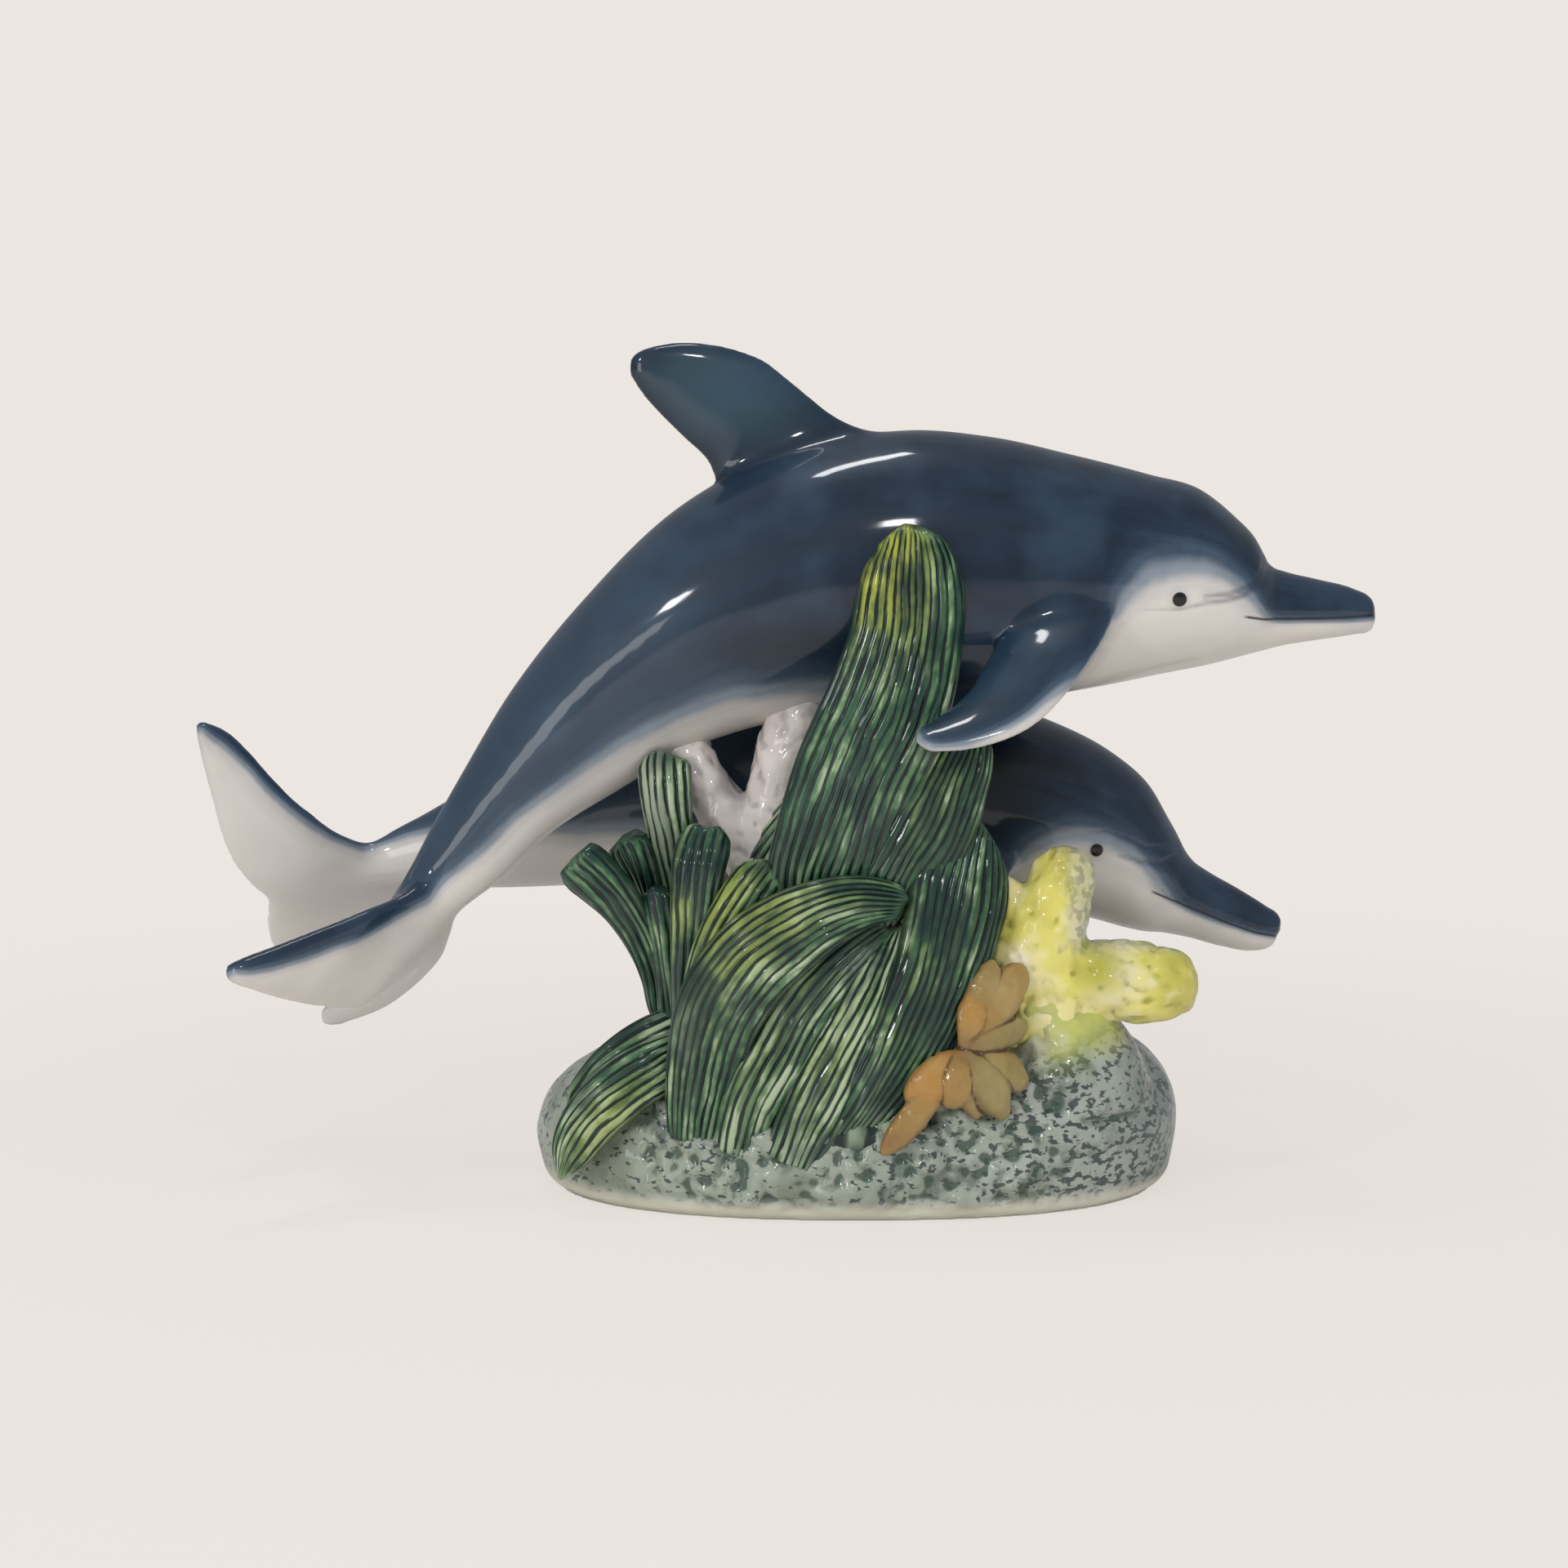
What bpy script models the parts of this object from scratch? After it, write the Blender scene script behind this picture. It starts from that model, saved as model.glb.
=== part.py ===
# Two dolphins leaping past a clump of sea grass on a rock: a glazed ornament, cast and fired as one piece.
# Sizes are millimetres, +X is the way the dolphins swim, -Y is the front, and the rock stands on Z = 0.
import math
from dataclasses import dataclass

import bmesh
import bpy
from mathutils import Vector

FIGURINE_LENGTH = 266.0

# The rock
ROCK_LENGTH = 147.0
ROCK_DEPTH = 94.0
ROCK_HEIGHT = 43.0
ROCK_WIDEST_AT = 12.0
ROCK_LEAN = 8.0
ROCK_SQUARENESS = 2.3
ROCK_SHOULDER = 0.8
ROCK_RISES = (0, 20, 38, 54, 68, 80)
FOOT_INSET = 6.0
LUMP_DEPTH = 1.2
VENT_RADIUS = 3.0
VENT_DEPTH = 7.0
VENT_X, VENT_Y = 24.0, 12.0

# The dolphins' middle planes
UPPER_Y = -8.0
LOWER_Y = 24.0

# The dolphins' flippers: half thickness of the edge, and how much of the half chord is added to it
FLIPPER_EDGE = 1.0
FLIPPER_SWELL = 0.2

# The sea grass
LEAF_THICKNESS = 9.0
LEAF_SWELL = 0.62
LEAF_CROWN = 0.94
LEAF_BACK = (0.6, 0.0, -0.6)
FLUTE_PITCH = 4.6
FLUTE_DEPTH = 0.8

# How fine the skins are
BODY_SIDES = 24
BLADE_SIDES = 10
BRANCH_SIDES = 12
STEM_SIDES = 20
PETAL_SIDES = 6
ROCK_SIDES = 36
SHARP_ANGLE = 40


@dataclass
class Dolphin:
    name: str
    y: float
    body: tuple  # x, z, lean, half height, half width, from the beak to the tail
    fin: tuple  # x and z of the rear edge, x and z of the front edge, half thickness
    near_flipper: tuple  # x, y, z, half chord, from the shoulder to the tip; y from the middle plane
    far_flipper: tuple
    tail_swing: float  # how far the tail's end stands nearer the front than the middle plane
    fluke: tuple  # leading edge x and z, trailing edge x and z, y, half thickness, from tip to tip


UPPER = Dolphin(
    name="upper_dolphin",
    y=UPPER_Y,
    body=(
        (116.0, 130.0, 0, 1.5, 1.5),
        (114.5, 130.3, 0, 3.6, 3.2),
        (111.0, 130.8, 0, 4.9, 4.6),
        (102.5, 131.3, 0, 6.8, 6.3),
        (94.0, 131.6, 0, 8.5, 8.2),
        (91.3, 132.0, 0, 9.4, 9.4),
        (89.2, 133.4, 0, 11.2, 11.4),
        (85.2, 135.8, 2, 14.9, 14.6),
        (77.5, 138.5, 3, 19.2, 18.0),
        (66.5, 139.2, 4, 22.0, 20.5),
        (49.5, 139.7, 4, 26.0, 23.2),
        (30.0, 140.2, 2, 29.6, 25.0),
        (8.0, 140.1, 3, 30.9, 25.5),
        (-5.0, 138.6, 13, 30.3, 25.0),
        (-25.3, 131.6, 26, 27.2, 22.5),
        (-48.3, 117.2, 38, 20.7, 17.5),
        (-65.7, 101.8, 46, 16.2, 13.2),
        (-78.2, 88.5, 53, 12.0, 9.6),
        (-88.2, 75.9, 55, 9.6, 7.4),
        (-95.5, 67.8, 49, 7.4, 6.2),
        (-102.5, 61.4, 46, 4.8, 4.8),
        (-109.0, 55.4, 44, 2.0, 2.6),
    ),
    fin=(
        (-30.5, 157.0, 6.5, 169.0, 4.4),
        (-32.2, 163.8, -3.2, 174.2, 3.9),
        (-38.0, 169.2, -12.4, 181.0, 3.5),
        (-44.2, 175.4, -22.2, 187.2, 3.1),
        (-48.8, 181.0, -32.8, 190.4, 2.7),
        (-50.6, 184.6, -41.5, 190.6, 2.1),
        (-50.2, 187.0, -45.8, 189.4, 1.0),
    ),
    near_flipper=(
        (45.5, -17.0, 134.0, 11.0),
        (44.0, -21.0, 131.0, 11.0),
        (40.5, -26.5, 126.0, 10.9),
        (36.1, -31.0, 119.6, 10.6),
        (30.7, -34.5, 113.6, 9.8),
        (23.3, -37.0, 109.6, 7.4),
        (17.0, -38.5, 107.6, 4.9),
        (13.0, -39.0, 107.0, 2.4),
    ),
    far_flipper=(
        (45.5, 17.0, 134.0, 10.5),
        (43.0, 22.0, 131.5, 10.9),
        (38.0, 28.0, 128.5, 10.6),
        (30.0, 33.5, 125.5, 9.4),
        (21.0, 38.0, 123.5, 7.0),
        (14.0, 40.5, 122.5, 4.6),
        (10.0, 41.5, 122.0, 2.2),
    ),
    tail_swing=6.0,
    fluke=(
        (-136.4, 57.2, -137.0, 54.0, -42.0, 1.5),
        (-133.7, 58.4, -135.4, 52.6, -41.0, 2.1),
        (-128.6, 59.9, -133.6, 51.6, -39.0, 2.4),
        (-122.3, 61.8, -131.1, 50.0, -36.0, 2.6),
        (-115.0, 64.1, -128.3, 48.2, -32.0, 2.8),
        (-107.6, 66.7, -124.9, 46.4, -28.0, 3.0),
        (-101.2, 69.4, -121.2, 44.6, -23.0, 3.0),
        (-94.4, 71.4, -116.9, 43.0, -18.0, 3.0),
        (-90.3, 68.5, -113.4, 41.9, -14.0, 3.0),
        (-89.6, 63.0, -114.4, 40.9, -9.0, 3.0),
        (-91.4, 57.7, -117.0, 40.1, -4.0, 3.0),
        (-94.8, 51.5, -119.7, 38.7, 2.0, 3.0),
        (-99.9, 45.3, -121.8, 37.2, 7.0, 2.8),
        (-106.9, 39.3, -123.1, 35.9, 11.0, 2.6),
        (-114.3, 35.5, -123.5, 34.8, 13.0, 2.2),
        (-118.8, 33.9, -123.2, 33.4, 14.0, 1.7),
    ),
)

LOWER = Dolphin(
    name="lower_dolphin",
    y=LOWER_Y,
    body=(
        (99.6, 52.6, -17, 1.5, 1.5),
        (98.2, 52.7, -17, 3.9, 3.2),
        (95.0, 53.4, -17, 5.4, 4.6),
        (88.0, 56.0, -17, 7.0, 6.2),
        (78.6, 59.9, -17, 8.4, 8.0),
        (75.3, 61.5, -17, 9.3, 9.2),
        (72.8, 63.4, -18, 11.0, 11.0),
        (68.6, 66.6, -20, 13.4, 13.4),
        (62.0, 71.8, -22, 17.0, 16.2),
        (52.8, 76.4, -20, 19.9, 18.4),
        (39.7, 80.8, -15, 22.3, 20.2),
        (22.0, 84.4, -8, 24.2, 21.6),
        (0.0, 87.0, -2, 25.0, 22.0),
        (-22.0, 87.2, 3, 23.8, 21.0),
        (-45.0, 84.6, 9, 20.0, 17.6),
        (-66.0, 79.8, 13, 16.2, 13.6),
        (-84.0, 75.2, 16, 12.4, 10.0),
        (-97.5, 72.0, 19, 9.2, 7.2),
        (-106.5, 70.2, 21, 6.8, 6.0),
        (-114.0, 67.6, 21, 4.4, 4.6),
        (-121.0, 65.0, 21, 2.0, 2.4),
    ),
    fin=(
        (-24.5, 104.0, 6.5, 109.0, 4.0),
        (-27.0, 111.5, -0.5, 115.5, 3.6),
        (-31.0, 117.0, -8.0, 122.0, 3.2),
        (-35.5, 122.5, -16.5, 128.5, 2.8),
        (-39.0, 127.5, -25.5, 132.5, 2.4),
        (-40.5, 130.8, -33.0, 133.8, 1.8),
        (-40.0, 132.6, -36.8, 133.4, 0.9),
    ),
    near_flipper=(
        (30.0, -15.0, 76.0, 8.5),
        (27.0, -19.0, 71.0, 8.8),
        (22.0, -22.5, 65.0, 8.0),
        (16.0, -25.0, 60.0, 6.0),
        (11.0, -26.0, 57.0, 3.0),
    ),
    far_flipper=(
        (32.0, 15.0, 76.0, 9.5),
        (29.5, 19.5, 72.5, 9.8),
        (24.0, 24.5, 67.5, 9.4),
        (17.0, 28.0, 62.0, 8.0),
        (9.5, 30.0, 57.5, 5.8),
        (4.0, 30.5, 55.0, 3.6),
        (1.0, 30.5, 54.0, 1.8),
    ),
    tail_swing=0.0,
    fluke=(
        (-148.3, 104.1, -149.8, 102.6, 6.0, 1.5),
        (-146.8, 103.6, -150.0, 100.9, 6.5, 2.0),
        (-143.6, 101.9, -149.6, 98.0, 8.0, 2.4),
        (-139.3, 97.6, -148.8, 92.6, 10.0, 2.6),
        (-134.2, 91.0, -147.4, 85.1, 12.5, 2.7),
        (-128.0, 84.0, -146.0, 77.5, 15.0, 2.8),
        (-120.3, 78.0, -143.8, 70.4, 18.0, 2.9),
        (-112.9, 74.3, -140.0, 64.4, 21.0, 3.0),
        (-108.8, 71.0, -137.0, 60.8, 24.0, 3.0),
        (-109.0, 67.5, -137.3, 57.2, 28.0, 3.0),
        (-110.2, 63.6, -138.0, 53.4, 32.0, 2.9),
        (-112.2, 58.8, -138.0, 49.0, 36.0, 2.7),
        (-115.2, 54.0, -137.0, 44.8, 40.0, 2.5),
        (-119.8, 48.4, -134.3, 41.4, 43.0, 2.2),
        (-124.9, 43.7, -130.1, 40.4, 44.2, 1.7),
    ),
)

# One drawn millimetre in metres: the tables run from the lower dolphin's fluke to the upper one's beak.
DRAWN_LENGTH = UPPER.body[0][0] - min(row[2] for row in LOWER.fluke)
MM = 0.001 * FIGURINE_LENGTH / DRAWN_LENGTH

# Each leaf of sea grass: the way it faces in degrees (0 is the front, 90 is +X), then its middle line
# from the root to the tip with its width: x, y, z, width.
LEAVES = {
    "tall_leaf": (
        4,
        (
            (-9, -33, 66, 22),
            (-8, -36, 74, 25),
            (-5, -38, 84, 27),
            (0, -38.5, 99, 28),
            (6, -38, 113, 27.6),
            (10, -36.5, 127, 25.2),
            (11.3, -35, 140, 23),
            (11.4, -34, 147, 18.5),
            (11.3, -33, 150.8, 12),
            (11.3, -32.5, 152.4, 6),
        ),
    ),
    "leaning_leaf": (
        20,
        (
            (4, -33, 66, 18),
            (8, -35, 74, 22),
            (14.5, -35, 86, 23),
            (19, -33, 96, 20.5),
            (22, -31, 103, 16.5),
            (23.5, -30, 107.5, 11),
            (24.3, -29.5, 109.5, 5),
        ),
    ),
    "right_leaf": (
        28,
        (
            (-3, -41, 18, 12),
            (5, -42, 29, 18),
            (12, -40, 42, 21),
            (17, -38, 53, 23),
            (20.5, -35, 64, 25),
            (23, -31, 74, 26),
            (24.5, -28, 81, 20),
            (25.5, -26.5, 85, 12),
            (26, -26, 86.6, 6),
        ),
    ),
    "folded_leaf": (
        -12,
        (
            (-36, -38, 17, 12),
            (-35, -40, 27, 15),
            (-33, -42, 38, 18),
            (-29, -44, 50, 20),
            (-22.5, -45, 59, 20),
            (-14, -45, 65.5, 18),
            (-6.9, -44.6, 69.3, 15),
            (1.4, -42.5, 71.2, 11.6),
            (9, -40, 70.6, 9),
            (10, -39.5, 70.5, 6.5),
        ),
    ),
    "inner_leaf": (
        -4,
        (
            (-27, -40, 15, 12),
            (-24, -42, 26, 15),
            (-18, -42, 38, 16.5),
            (-11, -41, 50, 15),
            (-3, -39, 58.5, 12),
            (4, -37, 63.5, 8),
            (7, -36, 65, 4),
        ),
    ),
    "front_leaf": (
        6,
        (
            (-15, -43, 13, 13),
            (-11, -43.5, 22, 15),
            (-6, -43, 32, 15.5),
            (0, -42, 44, 14),
            (5, -39, 55, 11),
            (8, -37, 62, 8),
            (9, -36, 65, 4),
        ),
    ),
    "rolled_leaf": (
        -14,
        (
            (-36.6, -29, 16, 8),
            (-35.3, -36.5, 33.9, 9),
            (-33.8, -39.8, 51.4, 9.4),
            (-31.3, -40.3, 59.9, 9.8),
            (-23.4, -38.4, 73, 10.8),
            (-19.8, -37, 77.2, 10.8),
            (-19, -36.7, 78.1, 8),
        ),
    ),
    "curled_leaf": (
        -22,
        (
            (-38.4, -24, 20, 8),
            (-36.9, -31.5, 37.1, 9.4),
            (-36.4, -35, 54.7, 9.8),
            (-35.9, -35, 71.7, 11.2),
            (-34.6, -31.8, 84, 13),
            (-34.4, -31.3, 85.3, 9.5),
        ),
    ),
    "short_leaf": (
        -38,
        (
            (-40, -19, 26, 6),
            (-41.4, -25, 46.2, 7.2),
            (-42.8, -28, 60.3, 7.8),
            (-44.6, -27.6, 71, 8.4),
            (-44.9, -27.4, 72.1, 6),
        ),
    ),
    "upright_leaf": (
        -10,
        (
            (-37.6, -18, 62, 9),
            (-40, -20.6, 74, 9.6),
            (-42.2, -23, 90, 11.6),
            (-42.8, -19.6, 99, 12.6),
            (-42.8, -19.1, 100.2, 9.5),
        ),
    ),
    "fan_leaf": (
        -30,
        (
            (-36, -14, 32, 6),
            (-44.7, -22, 49.9, 7.4),
            (-46.8, -24, 57.1, 8.4),
            (-53.3, -26, 69, 11.2),
            (-61.8, -25.5, 77.4, 12.8),
            (-62.9, -25.3, 78.5, 9.5),
        ),
    ),
    "fan_leaf_behind": (
        -34,
        (
            (-38, -10, 44, 6),
            (-46.1, -16, 66, 8),
            (-49.7, -20, 78, 11.4),
            (-51.4, -20.5, 81.2, 12),
            (-52.1, -20.5, 82.2, 9),
        ),
    ),
    "trailing_leaf": (
        -24,
        (
            (-36, -30, 36, 10),
            (-43, -34, 33.5, 12.5),
            (-51, -36, 29, 13.5),
            (-58, -36.5, 22.5, 13),
            (-63, -35.5, 14.5, 10),
            (-65.5, -34.5, 8, 6),
        ),
    ),
    "lying_leaf": (
        -30,
        (
            (-34, -20, 41, 10),
            (-42, -24, 37.5, 13),
            (-50, -26, 33, 13.5),
            (-57, -25.5, 27, 12),
            (-61.5, -24.4, 21.5, 8.5),
            (-63.4, -23.6, 18.5, 4),
        ),
    ),
    "back_leaf": (
        176,
        (
            (-8, 37, 18, 14),
            (-7, 41.5, 34, 18),
            (-4, 44, 52, 20),
            (1, 45.5, 70, 19),
            (6, 46, 86, 16),
            (8.5, 45.5, 95, 11),
            (9.3, 45, 98.4, 5),
        ),
    ),
    "back_left_leaf": (
        198,
        (
            (-26, 33, 20, 14),
            (-29, 38, 34, 17),
            (-34, 41, 48, 17),
            (-42, 42, 61, 15),
            (-51, 41, 70, 11),
            (-56, 40, 73.6, 5),
        ),
    ),
    "back_right_leaf": (
        158,
        (
            (16, 35, 20, 13),
            (19, 40, 34, 16),
            (23, 43, 49, 16),
            (30, 43.5, 62, 13),
            (36, 42, 70, 9),
            (38.5, 41, 73, 4.5),
        ),
    ),
}

# The stem that the leaves are luted to: height, x, y, half length, half depth.
STEM = (
    (12, -4, -3, 39, 33),
    (34, -4, -3, 34, 33),
    (56, -5, -2, 31, 30),
    (66, -6, -5, 27, 26),
    (78, -5, -15, 22, 17),
    (94, 0, -22, 15, 12),
    (112, 6, -25, 10, 8),
    (128, 9, -26, 7, 6),
)

# Corals as round branches: x, y, z, radius across, radius along the view.
BRANCHES = {
    "white_branch_left": (
        (-20, -17, 66, 6.5, 7),
        (-24, -16, 78, 6.2, 6),
        (-29, -15.4, 86, 6, 5.6),
        (-34, -14.2, 93, 5.6, 5.4),
        (-37.5, -12.8, 99, 5.4, 5.2),
        (-38.6, -12.2, 103, 4, 4),
    ),
    "white_branch_right": (
        (-20, -19, 66, 6.5, 7),
        (-20.5, -18, 80, 6.5, 6.4),
        (-18, -17, 92, 6.8, 6.4),
        (-14.5, -15, 102, 7.8, 7.2),
        (-12, -13.5, 108, 7.8, 7.2),
        (-11, -12.5, 112, 5, 5),
    ),
    "yellow_knob_upright": (
        (40, -21, 36, 12.5, 9.5),
        (40, -22, 46, 13.2, 10),
        (40, -22.3, 55, 12.2, 9.5),
        (41.5, -22.5, 62, 10, 8.6),
        (44, -22.3, 69, 8, 7.4),
        (45.2, -22, 74, 7, 6.6),
        (45.4, -22, 77.4, 5.4, 5),
        (45.4, -22, 79.4, 2.6, 2.6),
    ),
    "yellow_knob_sideways": (
        (38, -22, 46, 10, 9),
        (50, -22, 49.6, 9.6, 8.6),
        (60, -21.7, 49.6, 9, 8),
        (68, -21, 49.2, 8.2, 7.6),
        (72.6, -20.6, 48.8, 6.4, 6.2),
        (75.2, -20.5, 48.7, 3.2, 3),
    ),
    "yellow_shoulder": (
        (39, -20, 44, 11, 8),
        (36, -22, 56, 9.4, 7.5),
        (34.4, -22, 65, 6.4, 5.5),
        (33.6, -22, 70, 4, 3.5),
        (33.4, -22, 73, 1.8, 1.6),
    ),
    "yellow_foot": (
        (44, -17, 22, 22, 18),
        (44, -18, 30, 22.5, 18),
        (43.8, -19, 35.6, 20, 16),
        (43.4, -20, 39.4, 16.4, 13.5),
        (42.4, -21, 45, 12, 10.5),
        (42, -21.5, 49, 8.5, 8),
    ),
}

# The anemone on the rock: its petals run from the middle to a tip: x, y, z, half width.
ANEMONE_MIDDLE = (22.2, -41.0, 38.1)
PETAL_TIPS = (
    (29.8, -34.5, 57.0, 2.9),
    (36.2, -30.5, 55.0, 3.6),
    (26.0, -38.5, 50.5, 2.4),
    (37.0, -34.0, 42.6, 2.4),
    (36.8, -38.4, 28.6, 3.2),
    (31.5, -42.4, 22.7, 3.1),
    (26.3, -43.4, 24.0, 2.8),
    (19.6, -44.4, 26.4, 2.9),
    (10.4, -46.4, 26.8, 3.2),
    (4.6, -46.8, 15.8, 2.6),
)
PETAL_THICKNESS = 3.0
# Share of the way to the tip, share of the width, and how far the petal stands out.
PETAL_STATIONS = (
    (-0.06, 0.3, 0.0),
    (0.15, 0.62, 0.6),
    (0.5, 1.0, 1.4),
    (0.8, 0.85, 1.0),
    (1.0, 0.3, 0.0),
)
PETAL_OUT = Vector((0.35, -0.85, 0.4))

COLOURS = {
    "glazed_slate": (0.045, 0.075, 0.11),
    "glazed_leaf": (0.05, 0.16, 0.07),
    "glazed_stone": (0.22, 0.27, 0.23),
    "glazed_yellow": (0.62, 0.62, 0.12),
    "glazed_cream": (0.72, 0.68, 0.64),
    "glazed_amber": (0.5, 0.26, 0.08),
}


def material(name):
    """One coat of coloured glaze."""
    found = bpy.data.materials.get(name)
    if found:
        return found
    made = bpy.data.materials.new(name)
    made.use_nodes = True
    shader = made.node_tree.nodes["Principled BSDF"]
    shader.inputs["Base Color"].default_value = (*COLOURS[name], 1.0)
    shader.inputs["Roughness"].default_value = 0.12
    shader.inputs["Metallic"].default_value = 0.0
    return made


def skin(name, rings, glaze, forms):
    """A closed skin through rings of points, kept as a form that the figurine is joined from."""
    mesh = bpy.data.meshes.new(name)
    bm = bmesh.new()
    loops = [[bm.verts.new(Vector(point) * MM) for point in ring] for ring in rings]
    sides = len(loops[0])
    for lower, upper in zip(loops, loops[1:]):
        for i in range(sides):
            j = (i + 1) % sides
            bm.faces.new((lower[i], lower[j], upper[j], upper[i]))
    bm.faces.new(loops[0])
    bm.faces.new(loops[-1])
    bmesh.ops.recalc_face_normals(bm, faces=bm.faces)
    bm.to_mesh(mesh)
    bm.free()
    mesh.materials.append(material(glaze))
    made = bpy.data.objects.new(name, mesh)
    made.hide_render = True
    made.display_type = "WIRE"
    forms.objects.link(made)
    return made


def oval(centre, across, up, half_across, half_up, sides):
    """A ring of points round centre, in the plane of the unit vectors across and up."""
    turns = [2 * math.pi * k / sides for k in range(sides)]
    return [
        centre + across * (half_across * math.sin(turn)) + up * (half_up * math.cos(turn)) for turn in turns
    ]


def blade_ring(rear, front, face, half_thick):
    """A flat oval from the rear edge of a blade to its front edge."""
    chord = front - rear
    return oval((rear + front) / 2, face, chord.normalized(), half_thick, chord.length / 2, BLADE_SIDES)


def dolphin_body(dolphin, forms):
    tail_end = dolphin.body[-1][0]
    rings = []
    for x, z, lean, half_height, half_width in dolphin.body:
        tilt = math.radians(lean)
        up = Vector((-math.sin(tilt), 0, math.cos(tilt)))
        y = dolphin.y - dolphin.tail_swing * min(max(x / tail_end, 0.0), 1.0) ** 2
        centre = Vector((x, y, z))
        rings.append(oval(centre, Vector((0, 1, 0)), up, half_width, half_height, BODY_SIDES))
    return skin(dolphin.name + "_body", rings, "glazed_slate", forms)


def dorsal_fin(dolphin, forms):
    rings = []
    for rear_x, rear_z, front_x, front_z, half_thick in dolphin.fin:
        rear = Vector((rear_x, dolphin.y, rear_z))
        front = Vector((front_x, dolphin.y, front_z))
        rings.append(blade_ring(rear, front, Vector((0, 1, 0)), half_thick))
    return skin(dolphin.name + "_fin", rings, "glazed_slate", forms)


def flipper(dolphin, name, stations, forms):
    """A paddle: its chord lies along the body and its thickness faces away from it."""
    rows = [(x, dolphin.y + y, z, half) for x, y, z, half in stations]
    start, end = Vector(rows[0][:3]), Vector(rows[-1][:3])
    face = (end - start).cross(Vector((1, 0, 0.25))).normalized()
    rings = []
    for i, (x, y, z, half_chord) in enumerate(rows):
        chord = run(rows, i).cross(face).normalized()
        half_thick = FLIPPER_EDGE + FLIPPER_SWELL * half_chord
        rings.append(oval(Vector((x, y, z)), chord, face, half_chord, half_thick, BLADE_SIDES))
    return skin(f"{dolphin.name}_{name}", rings, "glazed_slate", forms)


def tail_fluke(dolphin, forms):
    """Both lobes as one blade, from the near tip through the notch to the far tip."""
    edges = [
        (Vector((front_x, y, front_z)), Vector((rear_x, y, rear_z)), half_thick)
        for front_x, front_z, rear_x, rear_z, y, half_thick in dolphin.fluke
    ]
    rings = []
    for i, (front, rear, half_thick) in enumerate(edges):
        before, after = edges[max(i - 1, 0)], edges[min(i + 1, len(edges) - 1)]
        way = after[0] + after[1] - before[0] - before[1]
        face = way.cross(rear - front).normalized()
        rings.append(blade_ring(rear, front, face, half_thick))
    return skin(dolphin.name + "_fluke", rings, "glazed_slate", forms)


def run(rows, i):
    """The way that a line of stations runs at station i."""
    return Vector(rows[min(i + 1, len(rows) - 1)][:3]) - Vector(rows[max(i - 1, 0)][:3])


def leaf(name, facing, rows, forms):
    """A thick ribbon: flutes run along its crowned face, and its back is plain."""
    turn = math.radians(facing)
    front = Vector((math.sin(turn), -math.cos(turn), 0))
    flutes = max(2, round(max(row[3] for row in rows) / FLUTE_PITCH))
    rings = []
    for i, (x, y, z, width) in enumerate(rows):
        along = run(rows, i)
        across = along.cross(front).normalized()
        face = across.cross(along).normalized()
        if face.dot(front) < 0:
            face = -face
        thick = min(LEAF_THICKNESS, LEAF_SWELL * width)
        ring = []
        for k in range(2 * flutes + 1):
            share = -1 + k / flutes
            crown = math.sqrt(1 - LEAF_CROWN * share * share) * thick / 2
            groove = FLUTE_DEPTH * (k % 2 == 0) * min(1, width / 8)
            ring.append(Vector((x, y, z)) + across * (share * width / 2) + face * (crown - groove))
        for share in LEAF_BACK:
            crown = math.sqrt(1 - LEAF_CROWN * share * share) * thick / 2
            ring.append(Vector((x, y, z)) + across * (share * width / 2) - face * crown)
        rings.append(ring)
    return skin(name, rings, "glazed_leaf", forms)


def branch(name, rows, glaze, forms):
    """A round limb of coral."""
    rings = []
    for i, (x, y, z, radius, depth) in enumerate(rows):
        across = run(rows, i).cross(Vector((0, 1, 0))).normalized()
        through = across.cross(run(rows, i)).normalized()
        rings.append(oval(Vector((x, y, z)), across, through, radius, depth, BRANCH_SIDES))
    return skin(name, rings, glaze, forms)


def stem(forms):
    rings = [
        oval(Vector((x, y, z)), Vector((1, 0, 0)), Vector((0, 1, 0)), half_length, half_depth, STEM_SIDES)
        for z, x, y, half_length, half_depth in STEM
    ]
    return skin("stem", rings, "glazed_leaf", forms)


def petal(name, tip, forms):
    start, end = Vector(ANEMONE_MIDDLE), Vector(tip[:3])
    along = (end - start).normalized()
    across = along.cross(PETAL_OUT).normalized()
    face = across.cross(along).normalized()
    half_width = tip[3]
    rings = []
    for share, wide, rise in PETAL_STATIONS:
        centre = start.lerp(end, share) + face * rise
        thick = PETAL_THICKNESS * (0.5 + 0.5 * wide)
        rings.append(oval(centre, across, face, half_width * wide, thick, PETAL_SIDES))
    return skin(name, rings, "glazed_amber", forms)


def rock(forms):
    """A low boulder: a flat foot, a widest line a little above it, and a lumpy domed top."""
    half_length, half_depth = ROCK_LENGTH / 2, ROCK_DEPTH / 2
    above = ROCK_HEIGHT - ROCK_WIDEST_AT
    rings = []
    for share, inset_share, lumps in ((0.0, 1.0, 0.0), (0.22, 0.4, 0.3), (0.55, 0.1, 0.3)):
        inset = inset_share * FOOT_INSET
        ring = rock_ring(0, half_length - inset, half_depth - inset, share * ROCK_WIDEST_AT, lumps)
        rings.append(ring)
    for degrees in ROCK_RISES:
        rise = math.radians(degrees)
        wide = math.cos(rise) ** ROCK_SHOULDER
        lean = ROCK_LEAN * math.sin(rise) ** 1.5
        z = ROCK_WIDEST_AT + above * math.sin(rise)
        rings.append(rock_ring(lean, half_length * wide, half_depth * wide, z, 1.0))
    return skin("rock", rings, "glazed_stone", forms)


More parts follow.
